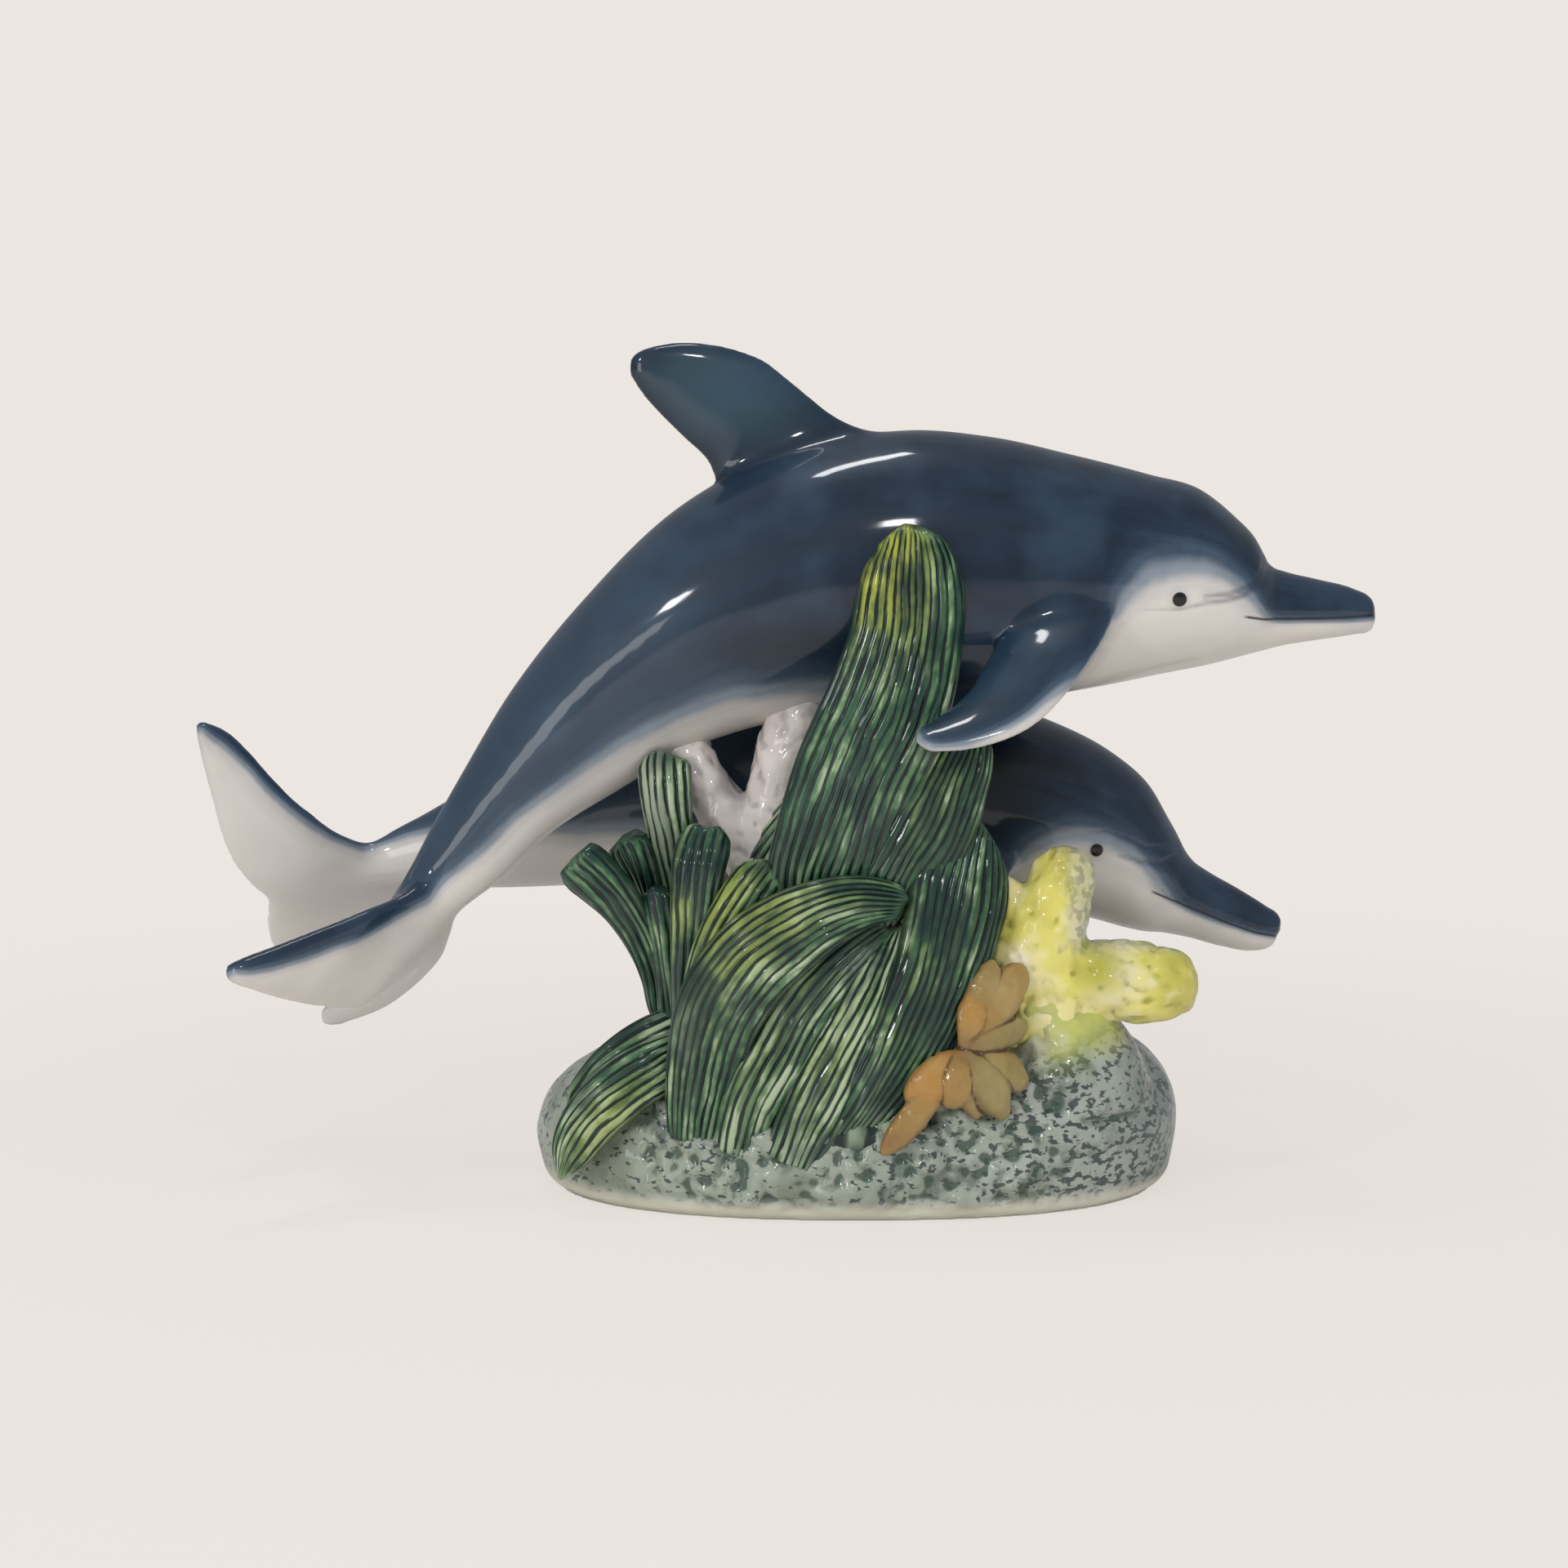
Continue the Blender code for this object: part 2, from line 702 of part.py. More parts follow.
def rock_ring(middle, half_length, half_depth, z, lumps):
    """An oval that is a little squarer than an ellipse, with low lumps."""
    ring = []
    for k in range(ROCK_SIDES):
        turn = 2 * math.pi * k / ROCK_SIDES
        c, s = math.cos(turn), math.sin(turn)
        square = (abs(c) ** ROCK_SQUARENESS + abs(s) ** ROCK_SQUARENESS) ** (-1 / ROCK_SQUARENESS)
        lump = lumps * LUMP_DEPTH * (math.sin(3 * turn + z / 9) + 0.6 * math.sin(7 * turn - z / 5)) / 1.6
        grow = square - lump / half_depth
        ring.append(Vector((middle + half_length * grow * c, half_depth * grow * s, z)))
    return ring


def vent_cutter(cutters):
    """The small hole in the foot that lets air out of the kiln-fired body."""
    bpy.ops.mesh.primitive_cylinder_add(
        vertices=20,
        radius=VENT_RADIUS * MM,
        depth=2 * VENT_DEPTH * MM,
        location=(VENT_X * MM, VENT_Y * MM, 0),
    )
    cutter = bpy.context.object
    cutter.name = "vent_cutter"
    cutter.hide_render = True
    cutter.display_type = "WIRE"
    for home in list(cutter.users_collection):
        home.objects.unlink(cutter)
    cutters.objects.link(cutter)


def islands(bm):
    """The separate closed skins of a mesh, as lists of vertices."""
    left = set(bm.verts)
    found = []
    while left:
        front = [left.pop()]
        island = []
        while front:
            vert = front.pop()
            island.append(vert)
            for edge in vert.link_edges:
                other = edge.other_vert(vert)
                if other in left:
                    left.remove(other)
                    front.append(other)
        found.append(island)
    return found


def fill_pockets(mesh):
    """Removes the skins of the small pockets that leaves close between them: the body is solid clay."""
    bm = bmesh.new()
    bm.from_mesh(mesh)
    skins = sorted(islands(bm), key=len)
    for pocket in skins[:-1]:
        bmesh.ops.delete(bm, geom=pocket, context="VERTS")
    bm.to_mesh(mesh)
    bm.free()


def joined(name, base, forms, cutters, home):
    """All the forms as one solid, with the vent cut in its foot."""
    forms.objects.unlink(base)
    bpy.context.scene.collection.objects.link(base)
    for modifier_name, operation, operands in (("join", "UNION", forms), ("vent", "DIFFERENCE", cutters)):
        boolean = base.modifiers.new(modifier_name, "BOOLEAN")
        boolean.operation = operation
        boolean.solver = "EXACT"
        boolean.material_mode = "TRANSFER"
        boolean.operand_type = "COLLECTION"
        boolean.collection = operands
    evaluated = base.evaluated_get(bpy.context.evaluated_depsgraph_get())
    mesh = bpy.data.meshes.new_from_object(evaluated)
    bpy.data.objects.remove(base, do_unlink=True)
    fill_pockets(mesh)
    mesh.shade_smooth()
    mesh.set_sharp_from_angle(angle=math.radians(SHARP_ANGLE))
    mesh.name = name
    made = bpy.data.objects.new(name, mesh)
    home.objects.link(made)
    return made


def collection(name):
    made = bpy.data.collections.new(name)
    bpy.context.scene.collection.children.link(made)
    return made


def main():
    for old in list(bpy.data.objects):
        bpy.data.objects.remove(old, do_unlink=True)
    home = collection("dolphin_figurine")
    forms = collection("forms")
    cutters = collection("cutters")
    base = rock(forms)
    stem(forms)
    for name, (facing, line) in LEAVES.items():
        leaf(name, facing, line, forms)
    for name, line in BRANCHES.items():
        branch(name, line, "glazed_cream" if name.startswith("white") else "glazed_yellow", forms)
    for k, tip in enumerate(PETAL_TIPS):
        petal(f"petal_{k + 1}", tip, forms)
    for dolphin in (LOWER, UPPER):
        dolphin_body(dolphin, forms)
        dorsal_fin(dolphin, forms)
        flipper(dolphin, "near_flipper", dolphin.near_flipper, forms)
        flipper(dolphin, "far_flipper", dolphin.far_flipper, forms)
        tail_fluke(dolphin, forms)
    vent_cutter(cutters)
    joined("dolphin_figurine", base, forms, cutters, home)


main()
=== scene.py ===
import math

import bpy
import numpy as np
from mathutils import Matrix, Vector, noise


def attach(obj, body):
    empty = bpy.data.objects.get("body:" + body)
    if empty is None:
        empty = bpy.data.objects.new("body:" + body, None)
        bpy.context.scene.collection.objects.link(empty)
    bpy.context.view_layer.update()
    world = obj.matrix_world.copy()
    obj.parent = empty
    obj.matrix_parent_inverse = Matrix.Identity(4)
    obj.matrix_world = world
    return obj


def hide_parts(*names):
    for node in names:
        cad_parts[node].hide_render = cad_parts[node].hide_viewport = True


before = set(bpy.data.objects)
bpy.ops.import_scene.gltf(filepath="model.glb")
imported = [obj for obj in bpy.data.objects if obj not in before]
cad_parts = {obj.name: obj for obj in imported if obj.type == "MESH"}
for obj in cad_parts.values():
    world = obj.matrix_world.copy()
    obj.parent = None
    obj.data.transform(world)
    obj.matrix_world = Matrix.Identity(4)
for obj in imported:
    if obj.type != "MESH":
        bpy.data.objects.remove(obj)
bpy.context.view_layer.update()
bpy.ops.object.select_all(action="DESELECT")
print("the cast body is loaded")

mm = 0.001


# every form starts as a sphere, whose rings are then drawn out to its own sections
def pick(pieces):
    # selects these pieces alone, with the first one active
    bpy.ops.object.select_all(action="DESELECT")
    for piece in pieces:
        piece.select_set(True)
    bpy.context.view_layer.objects.active = pieces[0]


def newBlob(name, rings, segments):
    bpy.ops.object.select_all(action="DESELECT")
    bpy.ops.mesh.primitive_uv_sphere_add(segments=segments, ring_count=rings, radius=1.0, location=(0, 0, 0))
    piece = bpy.context.object
    piece.name = name
    return piece


def readPoints(piece):
    points = np.empty(len(piece.data.vertices) * 3)
    piece.data.vertices.foreach_get("co", points)
    return points.reshape(-1, 3)


def readNormals(piece):
    normals = np.empty(len(piece.data.vertices) * 3)
    piece.data.vertices.foreach_get("normal", normals)
    return normals.reshape(-1, 3)


def writePoints(piece, points):
    piece.data.vertices.foreach_set("co", np.asarray(points, float).ravel())
    piece.data.update()


def ringsOf(piece):
    # share of the way along the blob, turn round it, and a size that closes both ends
    points = readPoints(piece)
    share = np.arccos(np.clip(-points[:, 2], -1, 1)) / math.pi
    turn = np.arctan2(points[:, 0], points[:, 1])
    return share, turn, (np.sin(math.pi * share) > 1e-4).astype(float)


def curveAt(rows, share, places):
    # a smooth curve through rows of numbers, of which the first few are a place
    rows = np.array(rows, float)
    gaps = np.linalg.norm(np.diff(rows[:, :places], axis=0), axis=1)
    at = np.concatenate([[0.0], np.cumsum(gaps)])
    slopes = np.gradient(rows, at, axis=0)
    where = np.asarray(share) * at[-1]
    k = np.clip(np.searchsorted(at, where) - 1, 0, len(gaps) - 1)
    t = ((where - at[k]) / gaps[k])[:, None]
    gap = gaps[k][:, None]
    return (
        (2 * t**3 - 3 * t**2 + 1) * rows[k] + (t**3 - 2 * t**2 + t) * gap * slopes[k]
        + (3 * t**2 - 2 * t**3) * rows[k + 1] + (t**3 - t**2) * gap * slopes[k + 1]
    )


def wayAlong(rows, share, step):
    # the direction in which a row of sections runs
    ahead, behind = (curveAt(rows, np.clip(share + s, 0, 1), 3)[:, :3] for s in (step, -step))
    return unit(ahead - behind)


def lengthOf(rows):
    return sum(math.dist(a[:3], b[:3]) for a, b in zip(rows, rows[1:]))


def fade(low, high, value):
    # a smooth step from 0 at low to 1 at high, or the other way round
    t = np.clip((value - low) / (high - low), 0, 1)
    return t * t * (3 - 2 * t)


def unit(vectors):
    return vectors / np.maximum(np.linalg.norm(vectors, axis=1, keepdims=True), 1e-9)


def keep(piece, name, values):
    layer = piece.data.attributes.get(name) or piece.data.attributes.new(name, "FLOAT", "POINT")
    layer.data.foreach_set("value", np.ascontiguousarray(values, dtype=np.float32))


def recall(piece, name):
    values = np.empty(len(piece.data.vertices), np.float32)
    piece.data.attributes[name].data.foreach_get("value", values)
    return values.astype(float)


def noiseAt(points, size, seed):
    # soft lumps of the given size, from -1 to 1
    offset = Vector((seed * 7.3, seed * 3.1, seed * 5.7))
    return np.array([noise.noise(Vector(point) / size + offset) for point in points])


def turnOutwards(piece):
    pick([piece])
    bpy.ops.object.mode_set(mode="EDIT")
    bpy.ops.mesh.select_all(action="SELECT")
    bpy.ops.mesh.normals_make_consistent(inside=False)
    bpy.ops.object.mode_set(mode="OBJECT")


def smoothShade(piece):
    pick([piece])
    bpy.ops.object.shade_smooth()


def fuse(pieces, name, voxel, passes):
    # joins forms into one skin with soft fillets where they meet
    for piece in pieces:
        turnOutwards(piece)
    pick(pieces)
    bpy.ops.object.join()
    piece = bpy.context.object
    piece.name = name
    piece.data.remesh_voxel_size = voxel
    piece.data.use_remesh_fix_poles = False
    piece.data.use_remesh_preserve_attributes = True
    bpy.ops.object.voxel_remesh()
    relax = piece.modifiers.new("relax", "SMOOTH")
    relax.factor = 0.5
    relax.iterations = passes
    bpy.ops.object.modifier_apply(modifier=relax.name)
    smoothShade(piece)
    return piece


def averaged(piece, values, passes, weight=None):
    # each column of values is drawn towards the mean of its neighbours on the mesh
    edges = np.empty(len(piece.data.edges) * 2, np.int64)
    piece.data.edges.foreach_get("vertices", edges)
    a, b = edges.reshape(-1, 2).T
    if weight is not None:
        near = (weight[a] + weight[b]) > 0
        a, b = a[near], b[near]
    share = 0.5 if weight is None else 0.5 * weight[:, None]
    count = len(values)
    degree = np.maximum(np.bincount(a, minlength=count) + np.bincount(b, minlength=count), 1)[:, None]
    for _ in range(passes):
        spread = [np.bincount(a, column[b], count) + np.bincount(b, column[a], count) for column in values.T]
        values = values + share * (np.column_stack(spread) / degree - values)
    return values


def blur(piece, name, passes):
    # spreads a painted value over the neighbouring points, as an airbrush would
    keep(piece, name, averaged(piece, recall(piece, name)[:, None], passes)[:, 0])


def soften(piece, spots, passes):
    # rounds the places where two forms meet; each spot is x, y, z and a radius
    points = readPoints(piece)
    weight = np.zeros(len(points))
    for x, y, z, radius in spots:
        distance = np.linalg.norm(points / mm - np.array((x, y, z)), axis=1)
        weight = np.maximum(weight, fade(radius, 0.45 * radius, distance))
    writePoints(piece, averaged(piece, points, passes, weight))


def markHollows(piece, passes):
    # the glaze pools in the hollows and runs thin on the ridges; the darker colour in the hollows is also painted
    # shade
    points = readPoints(piece)
    rise = averaged(piece, points, passes) - points
    keep(piece, "hollow", np.sum(rise * readNormals(piece), axis=1) / mm)


def finishPiece(piece, glaze):
    piece.data.materials.clear()
    piece.data.materials.append(glaze)
    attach(piece, "root")


# colours are written as 0 to 255, and a glaze is laid up in coats over a ground
glassCoat = {
    "Roughness": 0.4,
    "Specular IOR Level": 0.2,
    "Coat Weight": 0.7,
    "Coat Roughness": 0.07,
    "Coat IOR": 1.55,
}


def startGlaze(name):
    glaze = bpy.data.materials.new(name)
    glaze.use_nodes = True
    shader = glaze.node_tree.nodes["Principled BSDF"]
    for socket, value in glassCoat.items():
        shader.inputs[socket].default_value = value
    return glaze, glaze.node_tree, shader


def srgb(red, green, blue):
    shares = (c / 255 for c in (red, green, blue))
    return tuple(((c + 0.055) / 1.055) ** 2.4 if c > 0.04 else c / 12.92 for c in shares) + (1.0,)


def painted(tree, name):
    node = tree.nodes.new("ShaderNodeAttribute")
    node.attribute_name = name
    return node.outputs["Fac"]


def chartOf(tree, across, along):
    # a flat chart of the surface, made of two painted values
    node = tree.nodes.new("ShaderNodeCombineXYZ")
    feed(tree, node.inputs["X"], painted(tree, across))
    feed(tree, node.inputs["Y"], painted(tree, along))
    return node.outputs["Vector"]


def objectPlace(tree):
    return tree.nodes.new("ShaderNodeTexCoord").outputs["Object"]


def axes(tree, place):
    node = tree.nodes.new("ShaderNodeSeparateXYZ")
    feed(tree, node.inputs["Vector"], place)
    return [node.outputs[axis] for axis in "XYZ"]


def feed(tree, socket, value):
    # the value is a colour, a number or another node's output
    if isinstance(value, tuple):
        socket.default_value = srgb(*value)
    elif isinstance(value, (int, float)):
        socket.default_value = value
    else:
        tree.links.new(value, socket)


def sums(tree, operation, first, second=0.0, clamp=False):
    node = tree.nodes.new("ShaderNodeMath")
    node.operation = operation
    node.use_clamp = clamp
    feed(tree, node.inputs[0], first)
    feed(tree, node.inputs[1], second)
    return node.outputs[0]


def times(tree, first, second):
    return sums(tree, "MULTIPLY", first, second)


def plus(tree, first, second):
    return sums(tree, "ADD", first, second)


def stretch(tree, value, low, high, to=(0.0, 1.0)):
    node = tree.nodes.new("ShaderNodeMapRange")
    node.interpolation_type = "SMOOTHSTEP"
    feed(tree, node.inputs["Value"], value)
    node.inputs["From Min"].default_value = low
    node.inputs["From Max"].default_value = high
    node.inputs["To Min"].default_value = to[0]
    node.inputs["To Max"].default_value = to[1]
    return node.outputs["Result"]


def ramp(tree, value, stops):
    node = tree.nodes.new("ShaderNodeValToRGB")
    line = node.color_ramp
    line.interpolation = "EASE"
    while len(line.elements) < len(stops):
        line.elements.new(0.5)
    for element, (place, colour) in zip(line.elements, stops):
        element.position = place
        element.color = srgb(*colour)
    feed(tree, node.inputs["Fac"], value)
    return node.outputs["Color"]


def blend(tree, share, first, second):
    node = tree.nodes.new("ShaderNodeMix")
    node.data_type = "RGBA"
    feed(tree, node.inputs["Factor"], share)
    feed(tree, node.inputs["A"], first)
    feed(tree, node.inputs["B"], second)
    return node.outputs["Result"]


def layCoats(tree, colour, paint, coats):
    # each coat covers what lies below it by its own share
    for name, share in coats.items():
        colour = blend(tree, share, colour, paint[name])
    return colour


def speckle(tree, place, scale, detail=2.0, roughness=0.5, stretchBy=(1, 1, 1)):
    mapping = tree.nodes.new("ShaderNodeMapping")
    mapping.inputs["Scale"].default_value = stretchBy
    feed(tree, mapping.inputs["Vector"], place)
    node = tree.nodes.new("ShaderNodeTexNoise")
    tree.links.new(mapping.outputs["Vector"], node.inputs["Vector"])
    node.inputs["Scale"].default_value = scale
    node.inputs["Detail"].default_value = detail
    node.inputs["Roughness"].default_value = roughness
    return node.outputs["Fac"]


def fireGlaze(tree, shader, colour, ripples, strength, distance):
    # joins the colour to the glaze, whose surface is rippled a little
    node = tree.nodes.new("ShaderNodeBump")
    node.inputs["Strength"].default_value = strength
    node.inputs["Distance"].default_value = distance
    feed(tree, node.inputs["Height"], ripples)
    tree.links.new(node.outputs["Normal"], shader.inputs["Normal"])
    tree.links.new(node.outputs["Normal"], shader.inputs["Coat Normal"])
    tree.links.new(colour, shader.inputs["Base Color"])


# the two dolphins: sizes in millimetres, lean in degrees, the middle plane of each at y
upperDolphin = {
    "name": "upperDolphin",
    "y": -8.0,
    "tailSwing": 6.0,
    "body": [  # x, z, lean, half height, half width, from the beak to the tail
        (115.9, 130.1, 0, 0.2, 0.2), (115.6, 130.1, 0, 1.8, 1.7), (114.3, 130.3, 0, 3.7, 3.3),
        (111.0, 130.8, 0, 5.0, 4.7), (102.5, 131.3, 0, 6.8, 6.3), (95.0, 131.6, 0, 8.3, 8.0),
        (92.3, 131.8, 0, 9.1, 9.0), (90.6, 132.8, 0, 10.6, 10.8), (88.6, 134.6, 1, 12.8, 13.0),
        (84.5, 136.4, 2, 15.6, 15.2), (77.5, 138.5, 3, 19.4, 18.2), (66.5, 139.2, 4, 22.2, 20.5),
        (49.5, 139.7, 4, 26.1, 23.2), (30.0, 140.2, 2, 29.6, 25.0), (8.0, 140.1, 3, 30.9, 25.5),
        (-5.0, 138.5, 13, 30.2, 25.0), (-25.3, 131.5, 26, 27.1, 22.5), (-48.3, 117.2, 38, 20.7, 17.5),
        (-65.7, 101.8, 46, 16.2, 13.2), (-78.2, 88.5, 53, 12.0, 9.6), (-88.2, 75.9, 55, 9.6, 7.2),
        (-95.5, 67.8, 49, 7.6, 6.0), (-102.5, 61.4, 46, 5.0, 4.6), (-108.0, 56.4, 44, 2.6, 3.0),
        (-110.0, 54.6, 44, 0.4, 0.6),
    ],
    "fin": [  # rear x and z, front x and z, half thickness
        (-28.0, 148.0, 12.0, 160.0, 6.4), (-30.0, 155.0, 9.0, 167.5, 5.2), (-31.4, 160.0, 3.0, 171.3, 4.4),
        (-33.4, 164.6, -4.0, 174.6, 3.9), (-38.6, 169.6, -12.2, 181.0, 3.5), (-44.6, 175.6, -22.0, 187.1, 3.1),
        (-48.9, 181.0, -32.6, 190.1, 2.7), (-50.4, 184.8, -41.5, 190.3, 2.0), (-49.6, 187.6, -46.0, 189.4, 1.1),
        (-48.6, 188.4, -47.4, 189.0, 0.3),
    ],
    "flippers": {
        "near": [  # x, y from the middle plane, z, half chord
            (45.5, -14.0, 135.0, 11.2), (45.0, -18.0, 133.0, 11.2), (43.6, -22.0, 130.2, 11.0),
            (40.5, -26.5, 126.0, 10.9), (36.1, -31.0, 119.8, 10.5), (30.7, -34.5, 114.0, 9.4),
            (23.3, -37.0, 109.8, 7.0), (17.0, -38.3, 107.8, 4.7), (13.3, -38.8, 107.0, 2.8),
            (11.9, -39.0, 106.7, 0.4),
        ],
        "far": [
            (45.5, 14.0, 135.0, 10.5), (45.0, 18.0, 133.5, 10.6), (43.0, 22.0, 131.5, 10.9),
            (38.0, 28.0, 128.5, 10.6), (30.0, 33.5, 125.5, 9.4), (21.0, 38.0, 123.5, 7.0),
            (14.0, 40.5, 122.5, 4.4), (11.0, 41.3, 122.1, 2.4), (9.8, 41.6, 122.0, 0.4),
        ],
    },
    "fluke": [  # leading edge x and z, trailing edge x and z, y, half thickness, width of the dark edge
        (-137.2, 56.3, -137.3, 55.2, -42.6, 0.3, 0.3), (-136.4, 57.2, -137.0, 54.0, -42.0, 1.5, 0.3),
        (-133.7, 58.4, -135.4, 52.6, -41.0, 2.1, 0.4), (-128.6, 59.9, -133.6, 51.6, -39.0, 2.4, 0.38),
        (-122.3, 61.8, -131.1, 50.0, -36.0, 2.6, 0.33), (-115.0, 64.1, -128.3, 48.2, -32.0, 2.8, 0.27),
        (-107.6, 66.7, -124.9, 46.4, -28.0, 3.0, 0.22), (-101.2, 69.4, -121.2, 44.6, -23.0, 3.0, 0.17),
        (-94.4, 71.4, -116.9, 43.0, -18.0, 3.0, 0.12), (-90.3, 68.5, -113.4, 41.9, -14.0, 3.0, 0.05),
        (-89.6, 63.0, -114.4, 40.9, -9.0, 3.0, 0.0), (-91.4, 57.7, -117.0, 40.1, -4.0, 3.0, 0.0),
        (-94.8, 51.5, -119.7, 38.7, 2.0, 3.0, 0.0), (-99.9, 45.3, -121.8, 37.2, 7.0, 2.8, 0.0),
        (-106.9, 39.3, -123.1, 35.9, 11.0, 2.6, 0.0), (-114.3, 35.5, -123.5, 34.8, 13.0, 2.2, 0.0),
        (-118.8, 33.9, -123.2, 33.6, 14.0, 1.7, 0.2), (-121.0, 33.2, -122.6, 33.1, 14.4, 0.3, 0.4),
    ],
    "joints": [(-97, -14, 64, 20), (-92, -16, 68, 12), (-9, -8, 167, 24), (42, -30, 129, 12), (42, 14, 130, 12)],
    "paintedShadeAt": (-14, -28, 124, 26, 16, 11, 0.45),  # painted shade, darkest where the body lies behind the sea grass: x, y, z, its spread each way and strength
    "eye": (69.9, 135.4, 1.6),  # x, z, radius
    "mouth": [
        (84.5, 132.2), (84.8, 131.0), (89.9, 130.1), (97.0, 129.9), (104.1, 129.9), (110.0, 130.1),
        (117.0, 130.6),
    ],
    "folds": [
        [(90.8, 141.6), (88.2, 138.4), (84.2, 135.8), (80.0, 134.8), (76.0, 134.4), (69.9, 133.1), (62.0, 133.2)],
        [(89.6, 142.2), (87.1, 138.4), (81.3, 136.3), (75.5, 135.9)],
    ],
    "belly": [  # x, where the slate stops as a share of the half height, softness of the edge
        (118, -0.28, 0.2), (104, -0.31, 0.2), (94, -0.28, 0.24), (90, -0.12, 0.36), (86, 0.10, 0.46),
        (80, 0.26, 0.5), (70, 0.24, 0.5), (62, 0.10, 0.5), (56, -0.16, 0.5), (50, -0.52, 0.45),
        (44, -0.85, 0.35), (34, -1.15, 0.3), (14, -1.05, 0.3), (2, -0.85, 0.4), (-10, -0.72, 0.42),
        (-30, -0.55, 0.42), (-50, -0.46, 0.42), (-70, -0.34, 0.42), (-85, -0.12, 0.42), (-92, 0.1, 0.4),
        (-98, 0.45, 0.4), (-104, 0.9, 0.4), (-112, 1.3, 0.3),
    ],
}

